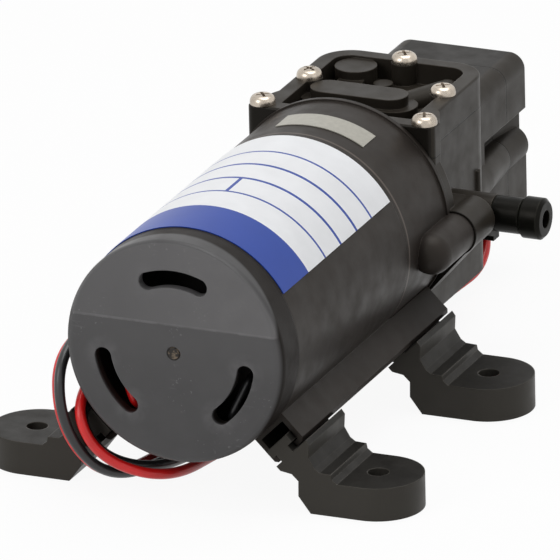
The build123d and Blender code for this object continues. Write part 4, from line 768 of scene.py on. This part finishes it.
def pan_screw_tree():
    """Pan-head cross-recess screws with a rolled thread, one on each point, each turned by chance."""
    tree = bpy.data.node_groups.new("pan_screws", "GeometryNodeTree")
    tree.interface.new_socket(name="Geometry", in_out="INPUT", socket_type="NodeSocketGeometry")
    for name, kind in SCREW_INPUTS:
        tree.interface.new_socket(name=name, in_out="INPUT", socket_type=kind)
    tree.interface.new_socket(name="Geometry", in_out="OUTPUT", socket_type="NodeSocketGeometry")
    given = tree.nodes.new("NodeGroupInput")
    result = tree.nodes.new("NodeGroupOutput")

    def head_outline(share, turn):
        flat = product(tree, product(tree, share, 1 / HEAD_SOLE), 1.0, "MINIMUM")
        climb = product(tree, product(tree, share, HEAD_SOLE, "SUBTRACT"), 0.0, "MAXIMUM")
        angle = product(tree, climb, math.pi / 2 / (1 - HEAD_SOLE))
        inward = product(tree, product(tree, angle, 0, "COSINE"), 0.0, "MAXIMUM")
        upward = product(tree, product(tree, angle, 0, "SINE"), 0.0, "MAXIMUM")
        radius = product(tree, product(tree, inward, HEAD_ROUNDNESS, "POWER"), given.outputs["Head Radius"])
        height = product(tree, product(tree, upward, CROWN_FULLNESS, "POWER"), given.outputs["Head Height"])
        return product(tree, radius, flat), height

    def thread_outline(share, turn):
        drop = product(tree, product(tree, share, 1.0, "SUBTRACT"), given.outputs["Shank Length"])
        height = product(tree, drop, SHANK_ROOT, "ADD")
        pitches = product(tree, height, given.outputs["Thread Pitch"], "DIVIDE")
        phase = product(tree, product(tree, pitches, product(tree, turn, 2 * math.pi, "DIVIDE"), "ADD"), 0, "FRACT")
        ridge = product(tree, product(tree, product(tree, phase, 2.0), 1.0, "SUBTRACT"), 0, "ABSOLUTE")
        groove = product(tree, product(tree, ridge, GROOVE_DEPTH), -1.0)
        outer = product(tree, groove, given.outputs["Shank Radius"], "ADD")
        tip = product(tree, product(tree, product(tree, share, TIP_RATE), 1.0, "MINIMUM"), TIP_ROUNDNESS, "POWER")
        top = product(tree, product(tree, product(tree, share, -ROOT_RATE), ROOT_RATE, "ADD"), 1.0, "MINIMUM")
        return product(tree, outer, product(tree, tip, product(tree, top, 0.0, "MAXIMUM"))), height

    head = turned(tree, HEAD_COLUMNS, HEAD_ROWS + 1, head_outline)
    for angle in (0.0, math.pi / 2):
        head = cut_out(tree, head, wing(tree, given, angle))
    marked = recess_faces(tree, head, given)
    turns = product(tree, given.outputs["Shank Length"], given.outputs["Thread Pitch"], "DIVIDE")
    rows = product(tree, product(tree, turns, ROWS_A_TURN), 0, "CEIL")
    both = tree.nodes.new("GeometryNodeJoinGeometry")
    feed(tree, marked.outputs["Geometry"], both, "Geometry")
    feed(tree, turned(tree, SHANK_COLUMNS, rows, thread_outline), both, "Geometry")

    placed = add(tree, "GeometryNodeInstanceOnPoints", Scale=(MM, MM, MM))
    feed(tree, given.outputs["Geometry"], placed, "Points")
    feed(tree, both.outputs["Geometry"], placed, "Instance")
    feed(tree, screw_turn(tree, given), placed, "Rotation")
    real = tree.nodes.new("GeometryNodeRealizeInstances")
    feed(tree, placed.outputs["Instances"], real, "Geometry")
    dressed = tree.nodes.new("GeometryNodeSetMaterial")
    feed(tree, real.outputs["Geometry"], dressed, "Geometry")
    feed(tree, given.outputs["Finish"], dressed, "Material")
    # The recess faces get the finish of grime with painted shade.
    grimed_and_shaded = tree.nodes.new("GeometryNodeSetMaterial")
    feed(tree, dressed.outputs["Geometry"], grimed_and_shaded, "Geometry")
    feed(tree, marked.outputs["Recess"], grimed_and_shaded, "Selection")
    feed(tree, given.outputs["Recess Finish"], grimed_and_shaded, "Material")
    feed(tree, grimed_and_shaded.outputs["Geometry"], result, "Geometry")
    return tree


def grown(name, points, tree, values):
    """Runs a tree on the points, in mm, and keeps its result as one plain mesh."""
    weld_distance, sharp_angle = 0.002, 38
    seeds = bpy.data.meshes.new(name + "_points")
    seeds.from_pydata([[value * MM for value in point] for point in points], [], [])
    source = placed_object(name + "_source", seeds)
    modifier = source.modifiers.new("tree", "NODES")
    modifier.node_group = tree
    for item in tree.interface.items_tree:
        if item.item_type == "SOCKET" and item.in_out == "INPUT" and item.name in values:
            modifier[item.identifier] = values[item.name]
    ready = source.evaluated_get(bpy.context.evaluated_depsgraph_get())
    data = bpy.data.meshes.new_from_object(ready)
    source.modifiers.clear()
    bpy.data.objects.remove(source)
    mesh = bmesh.new()
    mesh.from_mesh(data)
    bmesh.ops.remove_doubles(mesh, verts=mesh.verts, dist=weld_distance * MM)
    bmesh.ops.recalc_face_normals(mesh, faces=mesh.faces)
    mesh.to_mesh(data)
    mesh.free()
    for face in data.polygons:
        face.use_smooth = True
    data.set_sharp_from_angle(angle=math.radians(sharp_angle))
    data.name = name
    return placed_object(name, data)


BRACKET_SCREW_OFFSET = 13.01
COVER_SCREW_PLACES = [(-19.6, 48.5, COVER_TOP_Z), (19.6, 48.5, COVER_TOP_Z), (-16.25, 67.5, COVER_TOP_Z),
                      (16.25, 67.5, COVER_TOP_Z), (0, 84.0, COVER_TOP_Z)]
BRACKET_SCREW_PLACES = [(x, SLEEVE_END_Y, AXIS_Z + z) for x in (-BRACKET_SCREW_OFFSET, BRACKET_SCREW_OFFSET)
                        for z in (-BRACKET_SCREW_OFFSET, BRACKET_SCREW_OFFSET)]
SWITCH_SCREW_PLACES = [(-12, BOX_FACE_Y, 29.1), (12, BOX_FACE_Y, 29.1)]

# Each group's places, its heads' radius and height, its shanks' radius and length, its tilt and its seed.
SCREW_GROUPS = [
    ("cover_screws", COVER_SCREW_PLACES, (2.95, 2.2), (1.5, 14.0), 0.0, 4),
    ("bracket_screws", BRACKET_SCREW_PLACES, (2.8, 2.0), (1.5, 27.7), 90.0, 7),
    ("switch_screws", SWITCH_SCREW_PLACES, (2.8, 2.0), (1.5, 22.0), -90.0, 3),
]
pan_screws = pan_screw_tree()
for name, places, (head_radius, head_height), (shank_radius, shank_length), tilt, seed in SCREW_GROUPS:
    piece = grown(name + "_made", places, pan_screws, {
        "Head Radius": head_radius, "Head Height": head_height,
        "Shank Radius": shank_radius, "Shank Length": shank_length, "Thread Pitch": 1.3,
        "Recess Length": 3.4, "Recess Width": 0.68, "Recess Depth": 1.1,
        "Tilt": math.radians(tilt), "Seed": seed, "Finish": screw_nickel, "Recess Finish": recess_grime_and_shade,
    })
    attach(piece, "pump_body")
    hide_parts(name)


# ---- light, floor and camera ----

AMBIENT = 0.28
FLOOR_REACH = 3.0
FLOOR_DROP = 0.0001
FLOOR_GLOW = 0.93


def seen_white(tree):
    """One for the camera's rays, and for those that mirrors and clear things send on."""
    path = add(tree, "ShaderNodeLightPath").outputs
    mirror = product(tree, path["Is Glossy Ray"], path["Is Transmission Ray"], "MAXIMUM")
    return product(tree, path["Is Camera Ray"], mirror, "MAXIMUM")


def blended(tree, amount, first, second, out):
    """Sends a mix of two shaders to the output."""
    mix = add(tree, "ShaderNodeMixShader")
    for index, value in enumerate((amount, first.outputs[0], second.outputs[0])):
        feed(tree, value, mix, index)
    feed(tree, mix.outputs[0], out, "Surface")


def build_world():
    """An even soft sky that is white where the camera sees it."""
    world = bpy.data.worlds.new("studio")
    bpy.context.scene.world = world
    world.use_nodes = True
    tree = world.node_tree
    tree.nodes.clear()
    out = add(tree, "ShaderNodeOutputWorld")
    soft = add(tree, "ShaderNodeBackground", Color=WHITE, Strength=AMBIENT)
    white = add(tree, "ShaderNodeBackground", Color=WHITE, Strength=1.0)
    blended(tree, seen_white(tree), soft, white, out)


def build_floor():
    """The pale floor: it keeps the pump's shadow, and looks white where it is lit."""
    mesh = bmesh.new()
    bmesh.ops.create_grid(mesh, x_segments=2, y_segments=2, size=FLOOR_REACH)
    bmesh.ops.translate(mesh, verts=mesh.verts, vec=(0, 0, -FLOOR_DROP))
    material, tree, shader, place = finish("pale_floor", FLOOR_PALE, roughness=0.9, specular=0.1)
    feed(tree, cloudy(tree, place, FLOOR_PALE, spread=0.01, size=60.0), shader, "Base Color")
    glow = add(tree, "ShaderNodeEmission", Color=WHITE, Strength=1.0)
    blended(tree, product(tree, seen_white(tree), FLOOR_GLOW), shader, glow, tree.nodes["Material Output"])
    floor = made("floor", mesh, material, smooth=False)


def soft_box(name, place, aim, width, height, power):
    """A square soft light that looks at a point."""
    light = bpy.data.lights.new(name, "AREA")
    light.shape = "RECTANGLE"
    light.size = width
    light.size_y = height
    light.energy = power
    lamp = placed_object(name, light)
    lamp.location = place
    lamp.rotation_euler = (Vector(aim) - Vector(place)).to_track_quat("-Z", "Y").to_euler()


build_world()
build_floor()
soft_box("front_box", place=(-0.55, -1.05, 0.75), aim=(0, 0.02, 0.03), width=0.8, height=0.8, power=5.8)
soft_box("top_box", place=(0.15, 0.15, 1.15), aim=(0, 0.03, 0.03), width=0.9, height=0.9, power=8.0)
soft_box("right_box", place=(1.1, -0.2, 0.55), aim=(0, 0.03, 0.03), width=0.6, height=0.8, power=0.6)

# The camera stands where the photograph was fitted: turned, raised and rolled, far off with a long lens.
AZIMUTH, ELEVATION, ROLL = (math.radians(angle) for angle in (23.39, 20.91, -1.30))
DISTANCE = 4.184
AIM = Vector((0, 0.00425, 0.030))
PIXELS_PER_METRE = 4500.0
FRAME_WIDTH = 560
SENSOR_WIDTH = 36.0
CLIP_END = 50.0
SIDE_SHIFT, RISE_SHIFT = 0.00244, 0.00428
forward = Vector((-math.sin(AZIMUTH) * math.cos(ELEVATION), math.cos(AZIMUTH) * math.cos(ELEVATION),
                  -math.sin(ELEVATION)))
level = Vector((math.cos(AZIMUTH), math.sin(AZIMUTH), 0))
above_level = level.cross(forward)
right = level * math.cos(ROLL) + above_level * math.sin(ROLL)
up = above_level * math.cos(ROLL) - level * math.sin(ROLL)
lens = bpy.data.cameras.new("camera")
lens.sensor_width = SENSOR_WIDTH
lens.lens = PIXELS_PER_METRE * DISTANCE / FRAME_WIDTH * SENSOR_WIDTH
lens.clip_end = CLIP_END
camera = placed_object("camera", lens)
bpy.context.scene.camera = camera
spot = AIM - forward * DISTANCE + right * SIDE_SHIFT + up * RISE_SHIFT
turn = Matrix((right, up, -forward)).transposed().to_4x4()
camera.matrix_world = Matrix.Translation(spot) @ turn

bpy.context.scene.view_settings.view_transform = "Standard"
